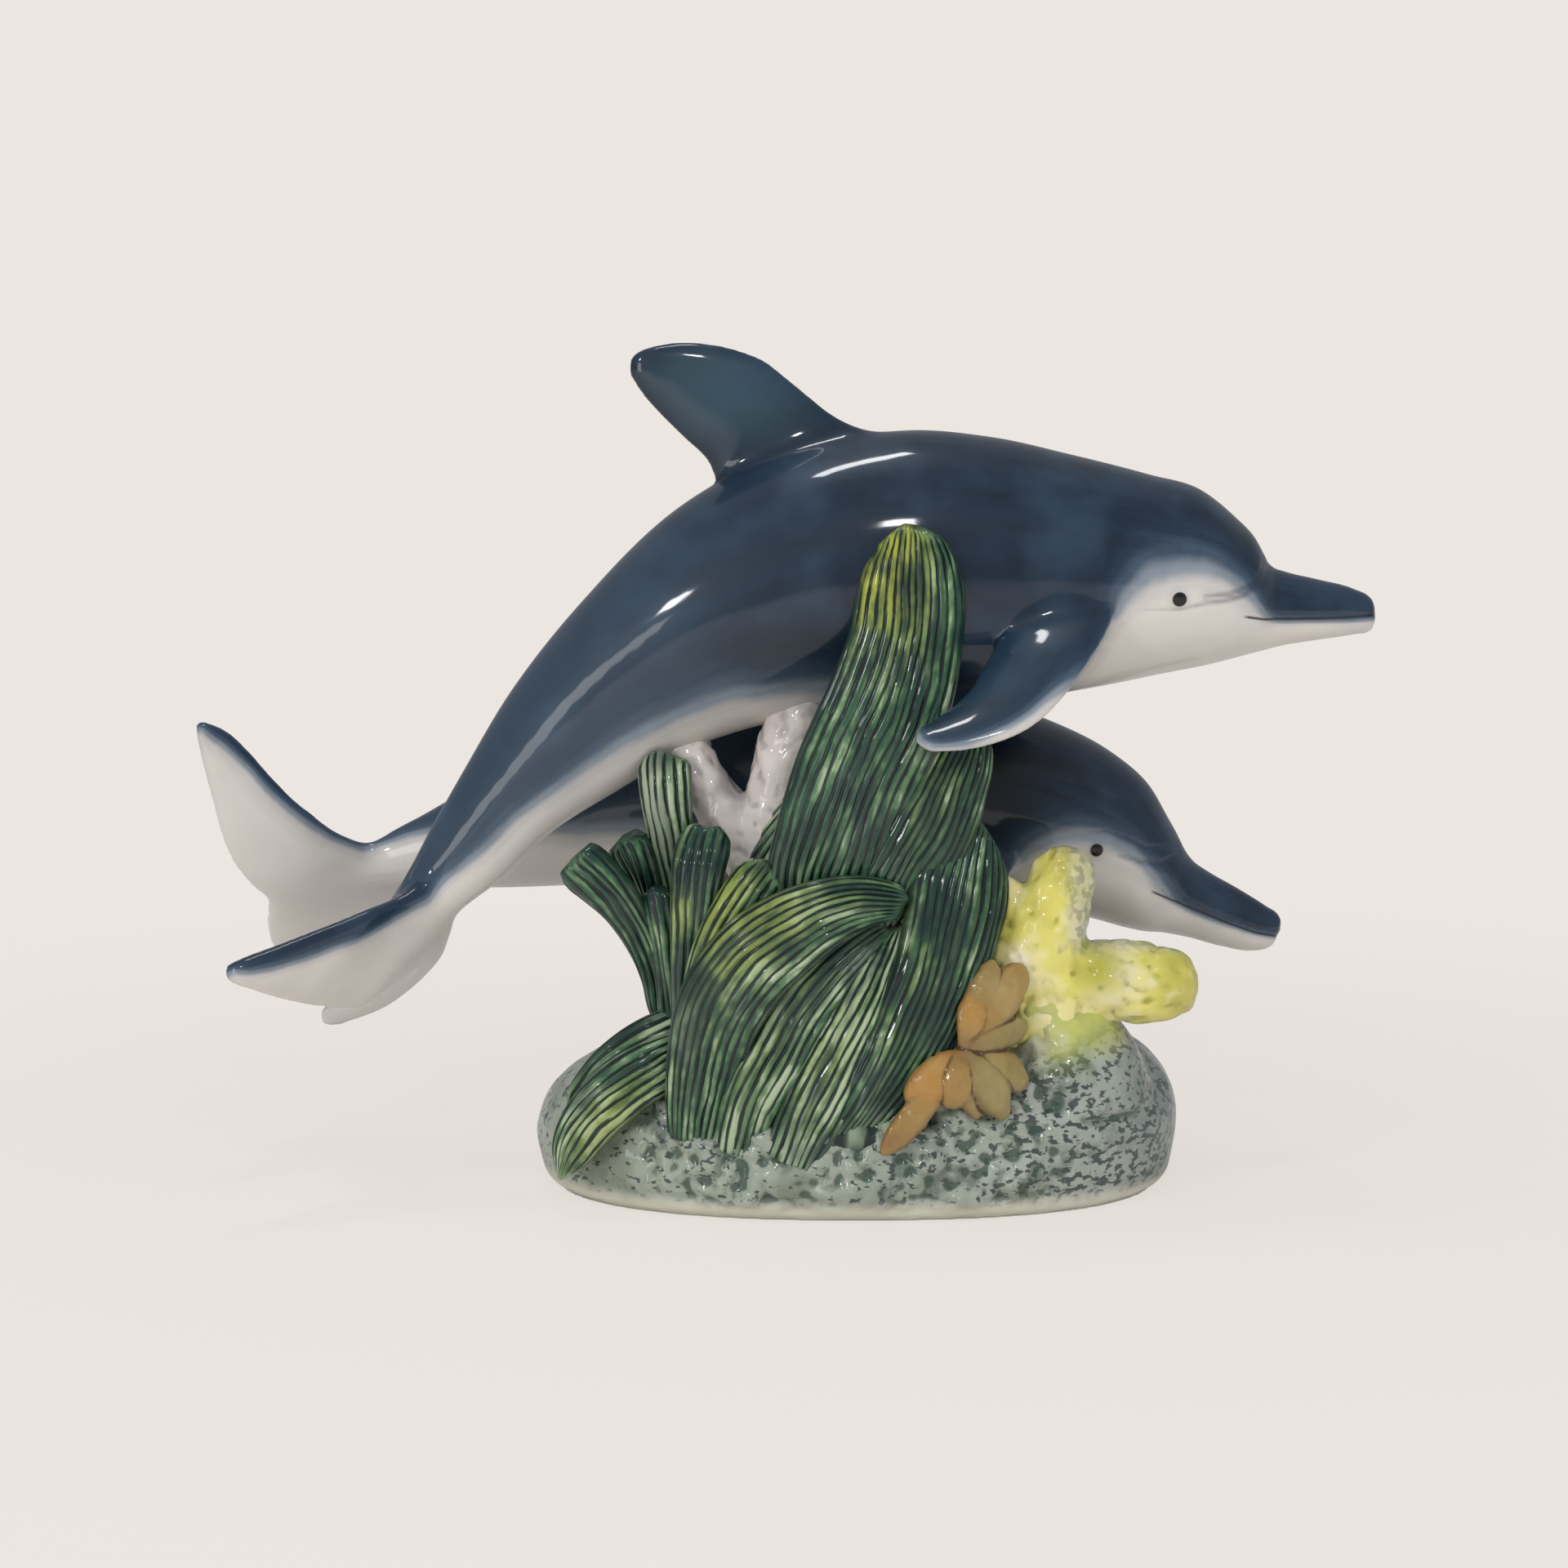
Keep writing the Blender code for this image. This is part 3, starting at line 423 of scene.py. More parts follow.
lowerDolphin = {
    "name": "lowerDolphin",
    "y": 24.0,
    "tailSwing": 0.0,
    "body": [
        (99.7, 52.6, -17, 0.2, 0.2), (99.3, 52.6, -17, 2.0, 1.7), (98.0, 52.8, -17, 4.0, 3.3),
        (95.0, 53.4, -17, 5.4, 4.6), (88.0, 56.0, -17, 7.0, 6.2), (79.6, 59.5, -17, 8.2, 7.8),
        (76.6, 60.8, -17, 8.9, 8.8), (74.3, 62.3, -17, 10.0, 10.0), (72.0, 64.0, -18, 11.7, 11.7),
        (68.3, 66.8, -20, 13.8, 13.8), (62.0, 71.8, -22, 17.0, 16.2), (52.8, 76.4, -20, 19.9, 18.4),
        (39.7, 80.8, -15, 22.3, 20.2), (22.0, 84.4, -8, 24.2, 21.6), (0.0, 87.0, -2, 25.0, 22.0),
        (-22.0, 87.2, 3, 23.8, 21.0), (-45.0, 84.6, 9, 20.0, 17.6), (-66.0, 79.8, 13, 16.2, 13.6),
        (-84.0, 75.2, 16, 12.4, 10.0), (-97.5, 72.0, 19, 9.2, 6.4), (-106.5, 70.2, 21, 6.8, 4.4),
        (-114.0, 67.6, 21, 4.4, 3.0), (-120.0, 65.4, 21, 2.2, 1.8), (-122.0, 64.6, 21, 0.4, 0.6),
    ],
    "fin": [
        (-22.0, 96.0, 12.0, 100.0, 6.0), (-24.0, 102.0, 8.5, 107.0, 4.8), (-25.4, 107.0, 4.0, 111.6, 4.0),
        (-27.6, 112.0, -1.6, 116.4, 3.6), (-31.4, 117.2, -8.2, 122.0, 3.2), (-35.8, 122.6, -16.6, 128.4, 2.8),
        (-39.0, 127.5, -25.5, 132.2, 2.4), (-40.2, 130.8, -33.0, 133.4, 1.7), (-39.6, 132.4, -36.8, 133.2, 0.9),
        (-38.8, 132.8, -38.0, 133.0, 0.3),
    ],
    "flippers": {
        "near": [
            (30.0, -12.0, 78.0, 8.5), (29.0, -16.0, 74.5, 8.7), (27.0, -19.0, 71.0, 8.8),
            (22.0, -22.5, 65.0, 8.0), (16.0, -25.0, 60.0, 6.0), (11.0, -26.0, 57.0, 3.0),
            (9.0, -26.3, 56.0, 0.4),
        ],
        "far": [
            (32.0, 12.0, 78.0, 9.5), (31.4, 16.0, 75.0, 9.6), (29.5, 19.5, 72.5, 9.8), (24.0, 24.5, 67.5, 9.4),
            (17.0, 28.0, 62.0, 8.0), (9.5, 30.0, 57.5, 5.8), (4.0, 30.5, 55.0, 3.4), (1.8, 30.5, 54.3, 2.0),
            (0.8, 30.5, 54.0, 0.4),
        ],
    },
    "fluke": [
        (-149.4, 104.0, -149.9, 103.6, 5.6, 0.3, 0.3), (-148.3, 104.1, -149.9, 102.6, 6.0, 1.5, 0.32),
        (-146.8, 103.6, -149.8, 100.9, 6.5, 2.0, 0.3), (-143.6, 101.9, -149.6, 98.0, 8.0, 2.4, 0.24),
        (-139.3, 97.6, -148.8, 92.6, 10.0, 2.6, 0.18), (-134.2, 91.0, -147.4, 85.1, 12.5, 2.7, 0.13),
        (-128.0, 84.0, -146.0, 77.5, 15.0, 2.8, 0.09), (-120.3, 78.0, -143.8, 70.4, 18.0, 2.9, 0.06),
        (-112.9, 74.3, -140.0, 64.4, 21.0, 3.0, 0.04), (-108.8, 71.0, -137.0, 60.8, 24.0, 3.0, 0.0),
        (-104.0, 67.5, -137.3, 57.2, 28.0, 3.0, 0.0), (-101.5, 63.6, -138.0, 53.4, 32.0, 2.9, 0.0),
        (-102.5, 58.4, -138.0, 49.0, 36.0, 2.7, 0.1), (-107.5, 53.4, -137.0, 44.8, 40.0, 2.5, 0.2),
        (-119.8, 48.4, -134.3, 41.4, 43.0, 2.2, 0.2), (-124.9, 43.7, -130.1, 40.4, 44.2, 1.7, 0.2),
        (-127.2, 41.8, -128.6, 40.9, 44.6, 0.3, 0.2),
    ],
    "joints": [(-108, 18, 70, 22), (-120, 22, 66, 14), (-6, 24, 107, 20), (28, 6, 72, 10), (28, 42, 72, 10)],
    # painted shade behind the sea grass, near black here
    "paintedShadeAt": (20, 6, 92, 30, 18, 19, 0.97),
    "eye": (55.1, 74.8, 1.5),
    "mouth": [(67.2, 66.2), (68.3, 64.4), (76.3, 60.4), (87.2, 55.6), (93.0, 53.4), (98.7, 52.0), (101.0, 51.6)],
    "folds": [
        [(75.0, 72.4), (70.5, 70.8), (65.4, 71.6), (60.6, 73.4)],
        [(74.4, 74.2), (66.6, 74.8), (62.2, 77.2), (57.5, 79.0), (49.0, 78.6)],
    ],
    "belly": [
        (102, -0.04, 0.2), (90, -0.12, 0.2), (79, -0.20, 0.24), (75, -0.10, 0.4), (71, 0.08, 0.48),
        (64, 0.22, 0.5), (55, 0.20, 0.5), (46, 0.0, 0.5), (38, -0.35, 0.5), (28, -0.75, 0.4), (10, -0.8, 0.4),
        (-10, -0.55, 0.45), (-40, -0.25, 0.5), (-66, 0.0, 0.5), (-86, 0.45, 0.4), (-100, 0.72, 0.3),
        (-112, 0.85, 0.25), (-124, 0.9, 0.2),
    ],
}

# what the two have in common
dolphinForm = {
    "grain": {"Body": (230, 96), "Fin": (90, 64), "Flipper": (90, 64), "Fluke": (220, 80)},  # rings and segments
    "voxel": 0.00075,  # in metres, as every voxel here
    "smoothing": 6,
    "filletPasses": 70,  # how far the fins and tails are rounded into the body
    "airbrushPasses": 26,
    "eyeRise": 0.45,
    "mouth": (0.22, 1.0),  # depth and width of the line
    "fold": (0.4, 0.9),
    "foldFade": 0.035,  # the folds die away behind the eye
    "paint": {
        "creamToSlate": [
            (0.0, (222, 217, 211)), (0.15, (208, 205, 202)), (0.38, (138, 148, 158)),
            (0.62, (64, 84, 104)), (0.84, (32, 53, 74)), (1.0, (16, 37, 57)),
        ],
        "depth": (6, 16, 28),
        "teal": (54, 82, 92),
        "haze": (52, 76, 98),
        "tail": (66, 86, 104),
        # painted shade: near black
        "paintedShade": (2, 4, 8),
        "crease": (40, 54, 70),
        "mouth": (10, 16, 26),
        "halo": (120, 124, 130),
        "eye": (14, 14, 16),
    },
}


def shapeBody(dolphin):
    piece = newBlob(dolphin["name"] + "Body", *dolphinForm["grain"]["Body"])
    share, turn, size = ringsOf(piece)
    x, z, lean, high, wide = curveAt(dolphin["body"], share, 2).T
    tilt = np.radians(lean)
    tailEnd = dolphin["body"][-1][0]
    y = dolphin["y"] - dolphin["tailSwing"] * np.clip(x / tailEnd, 0, 1) ** 2
    up = np.cos(turn)
    points = np.column_stack((
        x - np.sin(tilt) * high * up * size,
        y + wide * np.sin(turn) * size,
        z + np.cos(tilt) * high * up * size,
    ))
    writePoints(piece, points * mm)
    order = np.array(dolphin["belly"])[::-1]  # np.interp wants x to rise
    edge = np.interp(x, order[:, 0], order[:, 1])
    soft = np.interp(x, order[:, 0], order[:, 2])
    keep(piece, "slate", fade(edge - soft, edge + soft, up))
    keep(piece, "teal", np.zeros(len(x)))
    keep(piece, "flowLong", share * 2.6)  # the chart along which the brush strokes run
    keep(piece, "flowRound", turn)
    return piece


def shapeFin(dolphin):
    piece = newBlob(dolphin["name"] + "Fin", *dolphinForm["grain"]["Fin"])
    share, turn, size = ringsOf(piece)
    rearX, rearZ, frontX, frontZ, half = curveAt(dolphin["fin"], share, 4).T
    chord = np.cos(turn) * size
    points = np.column_stack((
        (rearX + frontX) / 2 + (frontX - rearX) / 2 * chord,
        dolphin["y"] + half * np.sin(turn) * size,
        (rearZ + frontZ) / 2 + (frontZ - rearZ) / 2 * chord,
    ))
    writePoints(piece, points * mm)
    keep(piece, "slate", 1.0 - 0.25 * fade(0.93, 1.0, share))  # worn a little at the tip
    keep(piece, "teal", (1 - chord**2) * fade(0.25, 0.5, share) * (1 - fade(0.75, 0.95, share)))
    keep(piece, "flowLong", share * 0.6)
    keep(piece, "flowRound", 0.6 * chord + 0.5)
    return piece


def shapeFlipper(dolphin, side):
    piece = newBlob(dolphin["name"] + side + "Flipper", *dolphinForm["grain"]["Flipper"])
    share, turn, size = ringsOf(piece)
    rows = [(x, dolphin["y"] + y, z, half) for x, y, z, half in dolphin["flippers"][side]]
    place = curveAt(rows, share, 3)
    run = wayAlong(rows, share, 0.02)
    span = np.array(rows[-1][:3]) - np.array(rows[0][:3])
    face = unit(np.cross(span, (1.0, 0.0, 0.25))[None, :])[0]
    outward = 1.0 if (face[1] < 0) == (side == "near") else -1.0
    chord = unit(np.cross(run, face))
    chord *= np.where(chord[:, :1] < 0, -1.0, 1.0)  # towards the leading edge
    lead, out = np.cos(turn) * size, np.sin(turn) * size * outward
    half = place[:, 3]
    thick = 0.9 + 0.2 * half
    points = place[:, :3] + chord * (half * lead)[:, None] + face * (thick * out * outward)[:, None]
    writePoints(piece, points * mm)
    paleEdge = fade(0.5, 1.05, lead) * fade(0.25, 0.6, share)
    dark = (1 - paleEdge) * (1 - 0.8 * fade(0.93, 1.0, share))
    keep(piece, "slate", np.where(out > -0.15, dark, 0.12 * dark))  # nearly white on the inside
    keep(piece, "teal", 0.2 * (1 - lead**2))
    keep(piece, "flowLong", share * 0.7)
    keep(piece, "flowRound", 0.6 * lead)
    return piece


def shapeFluke(dolphin):
    piece = newBlob(dolphin["name"] + "Fluke", *dolphinForm["grain"]["Fluke"])
    share, turn, size = ringsOf(piece)
    frontX, frontZ, rearX, rearZ, y, half, band = curveAt(dolphin["fluke"], share, 5).T
    front, rear = np.column_stack((frontX, y, frontZ)), np.column_stack((rearX, y, rearZ))
    ahead, behind = (curveAt(dolphin["fluke"], np.clip(share + step, 0, 1), 5) for step in (0.012, -0.012))
    way = np.column_stack([ahead[:, k] - behind[:, k] for k in (0, 4, 1)])
    way = way + np.column_stack([ahead[:, k] - behind[:, k] for k in (2, 4, 3)])
    face = unit(np.cross(way, rear - front))
    face *= np.where(face[:, 2:] < 0, -1.0, 1.0)  # the side towards the back of the animal
    chord, up = -np.cos(turn) * size, np.sin(turn) * size
    lift = np.sign(up) * np.sqrt(np.clip(1 - np.abs(chord) ** 2.6, 0, 1)) * size
    points = (front + rear) / 2 + (rear - front) / 2 * chord[:, None] + face * (half * lift)[:, None]
    writePoints(piece, points * mm)
    below = 1 - fade(2 * band - 1.25, 2 * band - 0.8, chord)  # the airbrushed leading edge, seen from below
    below = below * fade(0.0, 0.04, band)
    above = fade(0.0, 0.5, up) * (1 - 0.5 * fade(0.6, 1.0, chord))
    keep(piece, "slate", np.maximum(below, above))
    keep(piece, "teal", 0.3 * above)
    keep(piece, "flowLong", share)
    keep(piece, "flowRound", 0.5 * chord)
    return piece


def lineDistance(points, line):
    # how far each point is, seen from the side, from a line of x and z
    nearest = np.full(len(points), 1e3)
    flat = points[:, [0, 2]]
    for a, b in zip(line, line[1:]):
        a, b = np.array(a), np.array(b)
        along = np.clip((flat - a) @ (b - a) / ((b - a) @ (b - a)), 0, 1)
        nearest = np.minimum(nearest, np.linalg.norm(flat - a - along[:, None] * (b - a), axis=1))
    return nearest


def dolphinGlaze(dolphin):
    glaze, tree, shader = startGlaze(dolphin["name"] + "Glaze")
    place = objectPlace(tree)
    paint = dolphinForm["paint"]
    slate = painted(tree, "slate")
    streaks = speckle(tree, chartOf(tree, "flowLong", "flowRound"), 3.2, 4.0, 0.55, (1.0, 2.2, 1))
    mottle = speckle(tree, place, 42.0, 3.0, 0.5)
    coverage = sums(tree, "ADD", slate, stretch(tree, mottle, 0.3, 0.7, (-0.06, 0.06)), clamp=True)
    towardsTail = stretch(tree, painted(tree, "flowLong"), 1.1, 1.9, (0.0, 0.4))
    mouthLine = stretch(tree, sums(tree, "ABSOLUTE", painted(tree, "mouthLift")), 0.12, 0.48, (0.9, 0.0))
    eyeX, eyeZ, eyeRadius = dolphin["eye"]
    x, _, z = axes(tree, place)
    dx, dz = sums(tree, "SUBTRACT", x, eyeX * mm), sums(tree, "SUBTRACT", z, eyeZ * mm)
    distance = sums(tree, "SQRT", plus(tree, times(tree, dx, dx), times(tree, dz, dz)))
    body = layCoats(tree, ramp(tree, coverage, paint["creamToSlate"]), paint, {
        "depth": times(tree, stretch(tree, streaks, 0.38, 0.68), times(tree, coverage, 0.45)),
        "teal": times(tree, painted(tree, "teal"), 0.7),
        "haze": times(tree, stretch(tree, mottle, 0.45, 0.72, (0.0, 0.5)), slate),
        "tail": times(tree, towardsTail, slate),
        # painted shade where the body lies behind the sea grass
        "paintedShade": painted(tree, "paintedShade"),
        "crease": stretch(tree, painted(tree, "fold"), 0.1, 1.5, (0.6, 0.0)),
        "mouth": times(tree, mouthLine, painted(tree, "mouthHere")),
        "halo": stretch(tree, painted(tree, "eyeDistance"), eyeRadius, eyeRadius + 2.0, (0.16, 0.0)),
        "eye": stretch(tree, distance, 0.9 * eyeRadius * mm, 1.12 * eyeRadius * mm, (1.0, 0.0)),
    })
    fireGlaze(tree, shader, body, speckle(tree, place, 42.0, 1.0, 0.4), 0.35, 0.0012)
    return glaze


def shapeDolphin(dolphin):
    parts = [shapeBody(dolphin), shapeFin(dolphin), shapeFluke(dolphin)]
    parts += [shapeFlipper(dolphin, side) for side in ("near", "far")]
    form = dolphinForm
    piece = fuse(parts, dolphin["name"], form["voxel"], form["smoothing"])
    soften(piece, dolphin["joints"], form["filletPasses"])
    for name in ("slate", "teal"):
        blur(piece, name, form["airbrushPasses"])
    points = readPoints(piece) / mm
    line = np.array(dolphin["mouth"][1:])
    lift = points[:, 2] - np.interp(points[:, 0], line[:, 0], line[:, 1])
    corner = line[0, 0]  # the slate ends at the mouth: the lower jaw is pale, the upper one dark
    slate = recall(piece, "slate") * (1 - 0.9 * fade(0.0, -2.4, lift) * fade(corner, corner + 7, points[:, 0]))
    slate = np.maximum(slate, fade(0.0, 1.4, lift) * fade(corner + 3, corner + 9, points[:, 0]))
    keep(piece, "slate", slate)
    keep(piece, "mouthLift", lift)
    keep(piece, "mouthHere", fade(corner - 0.4, corner + 0.8, points[:, 0]))
    eyeX, eyeZ, eyeRadius = dolphin["eye"]
    eyeDistance = np.hypot(points[:, 0] - eyeX, points[:, 2] - eyeZ)
    mouth = lineDistance(points, dolphin["mouth"])
    fold = np.minimum(*(lineDistance(points, line) for line in dolphin["folds"]))
    fold = fold + form["foldFade"] * np.abs(points[:, 0] - dolphin["folds"][0][0][0])
    push = form["eyeRise"] * np.exp(-((eyeDistance / eyeRadius) ** 2))
    for distance, (depth, width) in ((mouth, form["mouth"]), (fold, form["fold"])):
        push = push - depth * np.exp(-((distance / width) ** 2))
    writePoints(piece, (points + readNormals(piece) * push[:, None]) * mm)
    # painted shade: the body is darkened where it lies in shadow behind the sea grass; inky is the distance from
    # its middle in spreads
    shadeX, shadeY, shadeZ, *shadeSpread, shadeStrength = dolphin["paintedShadeAt"]
    inky = np.linalg.norm((points - (shadeX, shadeY, shadeZ)) / shadeSpread, axis=1)
    keep(piece, "paintedShade", shadeStrength * fade(1.0, 0.35, inky))
    keep(piece, "eyeDistance", eyeDistance)
    keep(piece, "fold", fold)
    finishPiece(piece, dolphinGlaze(dolphin))
    print(dolphin["name"], len(piece.data.polygons), "faces")
    return piece


# the sea grass: the way each leaf faces in degrees, its yellow patch, which is real paint kept to the lit side of
# the leaf as painted light (strength, where along it, how far it spreads) and how pale it is, then x, y, z and
# width from root to tip
seaGrass = {
    "ribPitch": 2.0,
    "ribDepth": 0.5,
    "ribSegments": 16,
    "ringGap": 0.9,
    "thickness": 9.0,
    "narrowThickness": 0.56,  # as a share of the width, where that is less
    "sectionPower": 2.8,  # 2 is an ellipse, more is flatter
    "strayRibs": [(0.36, 7.0, 2), (0.16, 2.6, 5)],  # how far, over what size, seed
    "droop": (0.12, 0.6),  # of the corners at the tip, and of its ragged edge
    "leaves": {
        "tallLeaf": (4, (1.5, 0.9, 0.18, -0.03), [
            (-9, -33, 66, 22), (-8, -36, 74, 25), (-5, -38, 84, 27), (0, -38.5, 99, 28), (6, -38, 113, 27.4),
            (10, -36.5, 127, 25), (11.3, -35, 140, 22.6), (11.4, -34, 147, 18), (11.3, -33, 150.8, 11.5),
            (11.3, -32.5, 152.2, 4),
        ]),
        "leaningLeaf": (20, (0.2, 0.6, 0.3, -0.05), [
            (4, -33, 66, 18), (8, -35, 74, 22), (14.5, -35, 86, 23), (19, -33, 96, 20.5), (22, -31, 103, 16.5),
            (23.5, -30, 107.5, 11), (24.3, -29.5, 109.3, 4),
        ]),
        "rightLeaf": (28, (0.15, 0.5, 0.3, -0.04), [
            (-3, -41, 18, 12), (5, -42, 29, 18), (12, -40, 42, 21), (17, -38, 53, 23), (20.3, -35, 64, 24.5),
            (22.6, -31, 74, 25), (24, -28, 81, 19), (25, -26.5, 85, 11), (25.6, -26, 86.4, 4),
        ]),
        "foldedLeaf": (-12, (0.7, 0.6, 0.2, 0.0), [
            (-36, -38, 17, 12), (-35, -40, 27, 15), (-33, -42, 38, 18), (-29, -44, 50, 20), (-22.5, -45, 59, 20),
            (-14, -45, 65.5, 18), (-6.9, -44.6, 69.3, 15), (1.4, -42.5, 71.2, 11.6), (6.4, -41, 71, 9.6),
            (8.4, -40.2, 70.7, 8.6), (9.6, -39.7, 70.5, 6.6), (10, -39.5, 70.4, 3.4),
        ]),
        "innerLeaf": (-4, (0.25, 0.5, 0.3, 0.03), [
            (-27, -40, 15, 12), (-24, -42, 26, 15), (-18, -42, 38, 16.5), (-11, -41, 50, 15),
            (-3, -39, 58.5, 12), (4, -37, 63.5, 8), (7, -36, 65, 3),
        ]),
        "frontLeaf": (6, (0.3, 0.45, 0.3, 0.06), [
            (-15, -43, 13, 13), (-11, -43.5, 22, 15), (-6, -43, 32, 15.5), (0, -42, 44, 14), (5, -39, 55, 11),
            (8, -37, 62, 8), (9, -36, 65, 3),
        ]),
        "rolledLeaf": (-14, (0.8, 0.8, 0.18, 0.0), [
            (-36.6, -29, 16, 8), (-36.1, -33, 24, 8.6), (-35.3, -36.5, 33.9, 9), (-34.9, -38.5, 42.7, 9.2),
            (-33.8, -39.8, 51.4, 9.6), (-31.3, -40.5, 59.9, 10.4), (-27.6, -40.2, 67, 11.2),
            (-23.6, -38.8, 72.8, 11.6), (-20.8, -37.2, 76, 10.8), (-19.4, -36.4, 77.5, 8), (-19, -36.1, 77.9, 4),
        ]),
        "curledLeaf": (-22, (0.6, 0.74, 0.14, -0.03), [
            (-38.4, -24, 20, 8), (-37.9, -28, 28, 9), (-36.9, -31.5, 37.1, 9.4), (-36.6, -34, 46, 9.6),
            (-36.4, -35, 54.7, 9.8), (-36.3, -35.6, 63.3, 10.2), (-35.7, -35.4, 71.7, 11.4),
            (-34.6, -34.4, 79, 12.6), (-33.4, -32.4, 83, 12), (-32.6, -31, 85, 9.4), (-32.3, -30.4, 85.7, 5),
        ]),
        "shortLeaf": (-38, (0.0, 0.5, 0.3, -0.03), [
            (-40, -19, 26, 6), (-41.2, -22, 38.7, 7), (-41.4, -25, 46.2, 7.2), (-42, -27, 53.4, 7.4),
            (-42.8, -28, 60.3, 7.8), (-43.8, -28.2, 66.3, 8.2), (-44.4, -27.8, 70, 7.8), (-44.8, -27.6, 71.6, 6),
            (-44.9, -27.5, 72.2, 3),
        ]),
        "uprightLeaf": (-10, (-0.7, 0.9, 0.5, 0.02), [
            (-37.6, -18, 62, 9), (-40, -20.6, 74, 9.6), (-41.4, -22.6, 83, 10.4), (-42.2, -23, 90, 11.6),
            (-42.6, -21.6, 95.5, 12.2), (-42.8, -20, 98.4, 11.8), (-42.8, -19.2, 99.9, 9.4),
            (-42.8, -18.9, 100.4, 5),
        ]),
        "fanLeaf": (-30, (0.0, 0.5, 0.3, -0.03), [
            (-36, -14, 32, 6), (-43.6, -20, 43.5, 7), (-44.7, -22, 49.9, 7.4), (-46.8, -24, 57.1, 8.4),
            (-49.6, -25, 63.3, 9.8), (-53.3, -26, 69, 11.2), (-57.5, -26, 73.4, 12.3),
            (-60.6, -25.6, 76.2, 12.6), (-62.2, -25.5, 77.7, 11.2), (-63, -25.3, 78.4, 7.5),
            (-63.2, -25.3, 78.6, 3),
        ]),
        "fanLeafBehind": (-34, (0.0, 0.5, 0.3, -0.05), [
            (-38, -10, 44, 6), (-45, -14, 57, 7), (-46.1, -16, 66, 8), (-47.7, -19, 72.6, 9.8),
            (-49.6, -20, 77.6, 11.6), (-50.8, -20.4, 80.2, 11.4), (-51.7, -20.5, 81.7, 9),
            (-52.1, -20.5, 82.3, 4),
        ]),
        "trailingLeaf": (-24, (0.6, 0.6, 0.3, 0.05), [
            (-36, -30, 36, 10), (-43, -34, 33.5, 12.5), (-51, -36, 29, 13.5), (-58, -36.5, 22.5, 13),
            (-63, -35.5, 14.5, 10), (-65.5, -34.5, 8, 4),
        ]),
        "lyingLeaf": (-30, (0.0, 0.5, 0.3, 0.03), [
            (-34, -20, 41, 10), (-42, -24, 37.5, 13), (-50, -26, 33, 13.5), (-57, -25.5, 27, 12),
            (-61.5, -24.4, 21.5, 8.5), (-63.4, -23.6, 18.5, 3),
        ]),
        "backLeaf": (176, (0.4, 0.7, 0.3, 0.0), [
            (-8, 37, 18, 14), (-7, 41.5, 34, 18), (-4, 44, 52, 20), (1, 45.5, 70, 19), (6, 46, 86, 16),
            (8.5, 45.5, 95, 11), (9.3, 45, 98.2, 4),
        ]),
        "backLeftLeaf": (198, (0.3, 0.7, 0.3, 0.0), [
            (-26, 33, 20, 14), (-29, 38, 34, 17), (-34, 41, 48, 17), (-42, 42, 61, 15), (-51, 41, 70, 11),
            (-56, 40, 73.4, 4),
        ]),
        "backRightLeaf": (158, (0.2, 0.7, 0.3, 0.0), [
            (16, 35, 20, 13), (19, 40, 34, 16), (23, 43, 49, 16), (30, 43.5, 62, 13), (36, 42, 70, 9),
            (38.5, 41, 72.8, 4),
        ]),
    },
    "stemRibs": 44,
    "stem": [  # height, x, y, half length, half depth
        (10, -4, -3, 30, 26), (12, -4, -3, 39, 33), (34, -4, -3, 34, 33), (56, -5, -2, 31, 30),
        (66, -6, -5, 27, 26), (78, -5, -15, 22, 17), (94, 0, -22, 15, 12), (112, 6, -25, 10, 8),
        (128, 9, -26, 7, 6), (131, 9, -26, 2, 2),
    ],
    "paint": {
        "ridge": [(0.0, (26, 60, 50)), (0.35, (48, 88, 62)), (0.68, (92, 128, 88)), (1.0, (172, 192, 156))],
        "hollow": [(0.0, (8, 24, 23)), (1.0, (20, 46, 36))],
        "yellow": (158, 164, 58),
        "pale": (178, 186, 160),
        "pooled": (142, 164, 138),
        "inky": (12, 40, 40),
        # painted shade for the sides and the blunt ends of the leaves
        "edge": (12, 34, 30),
    },
}


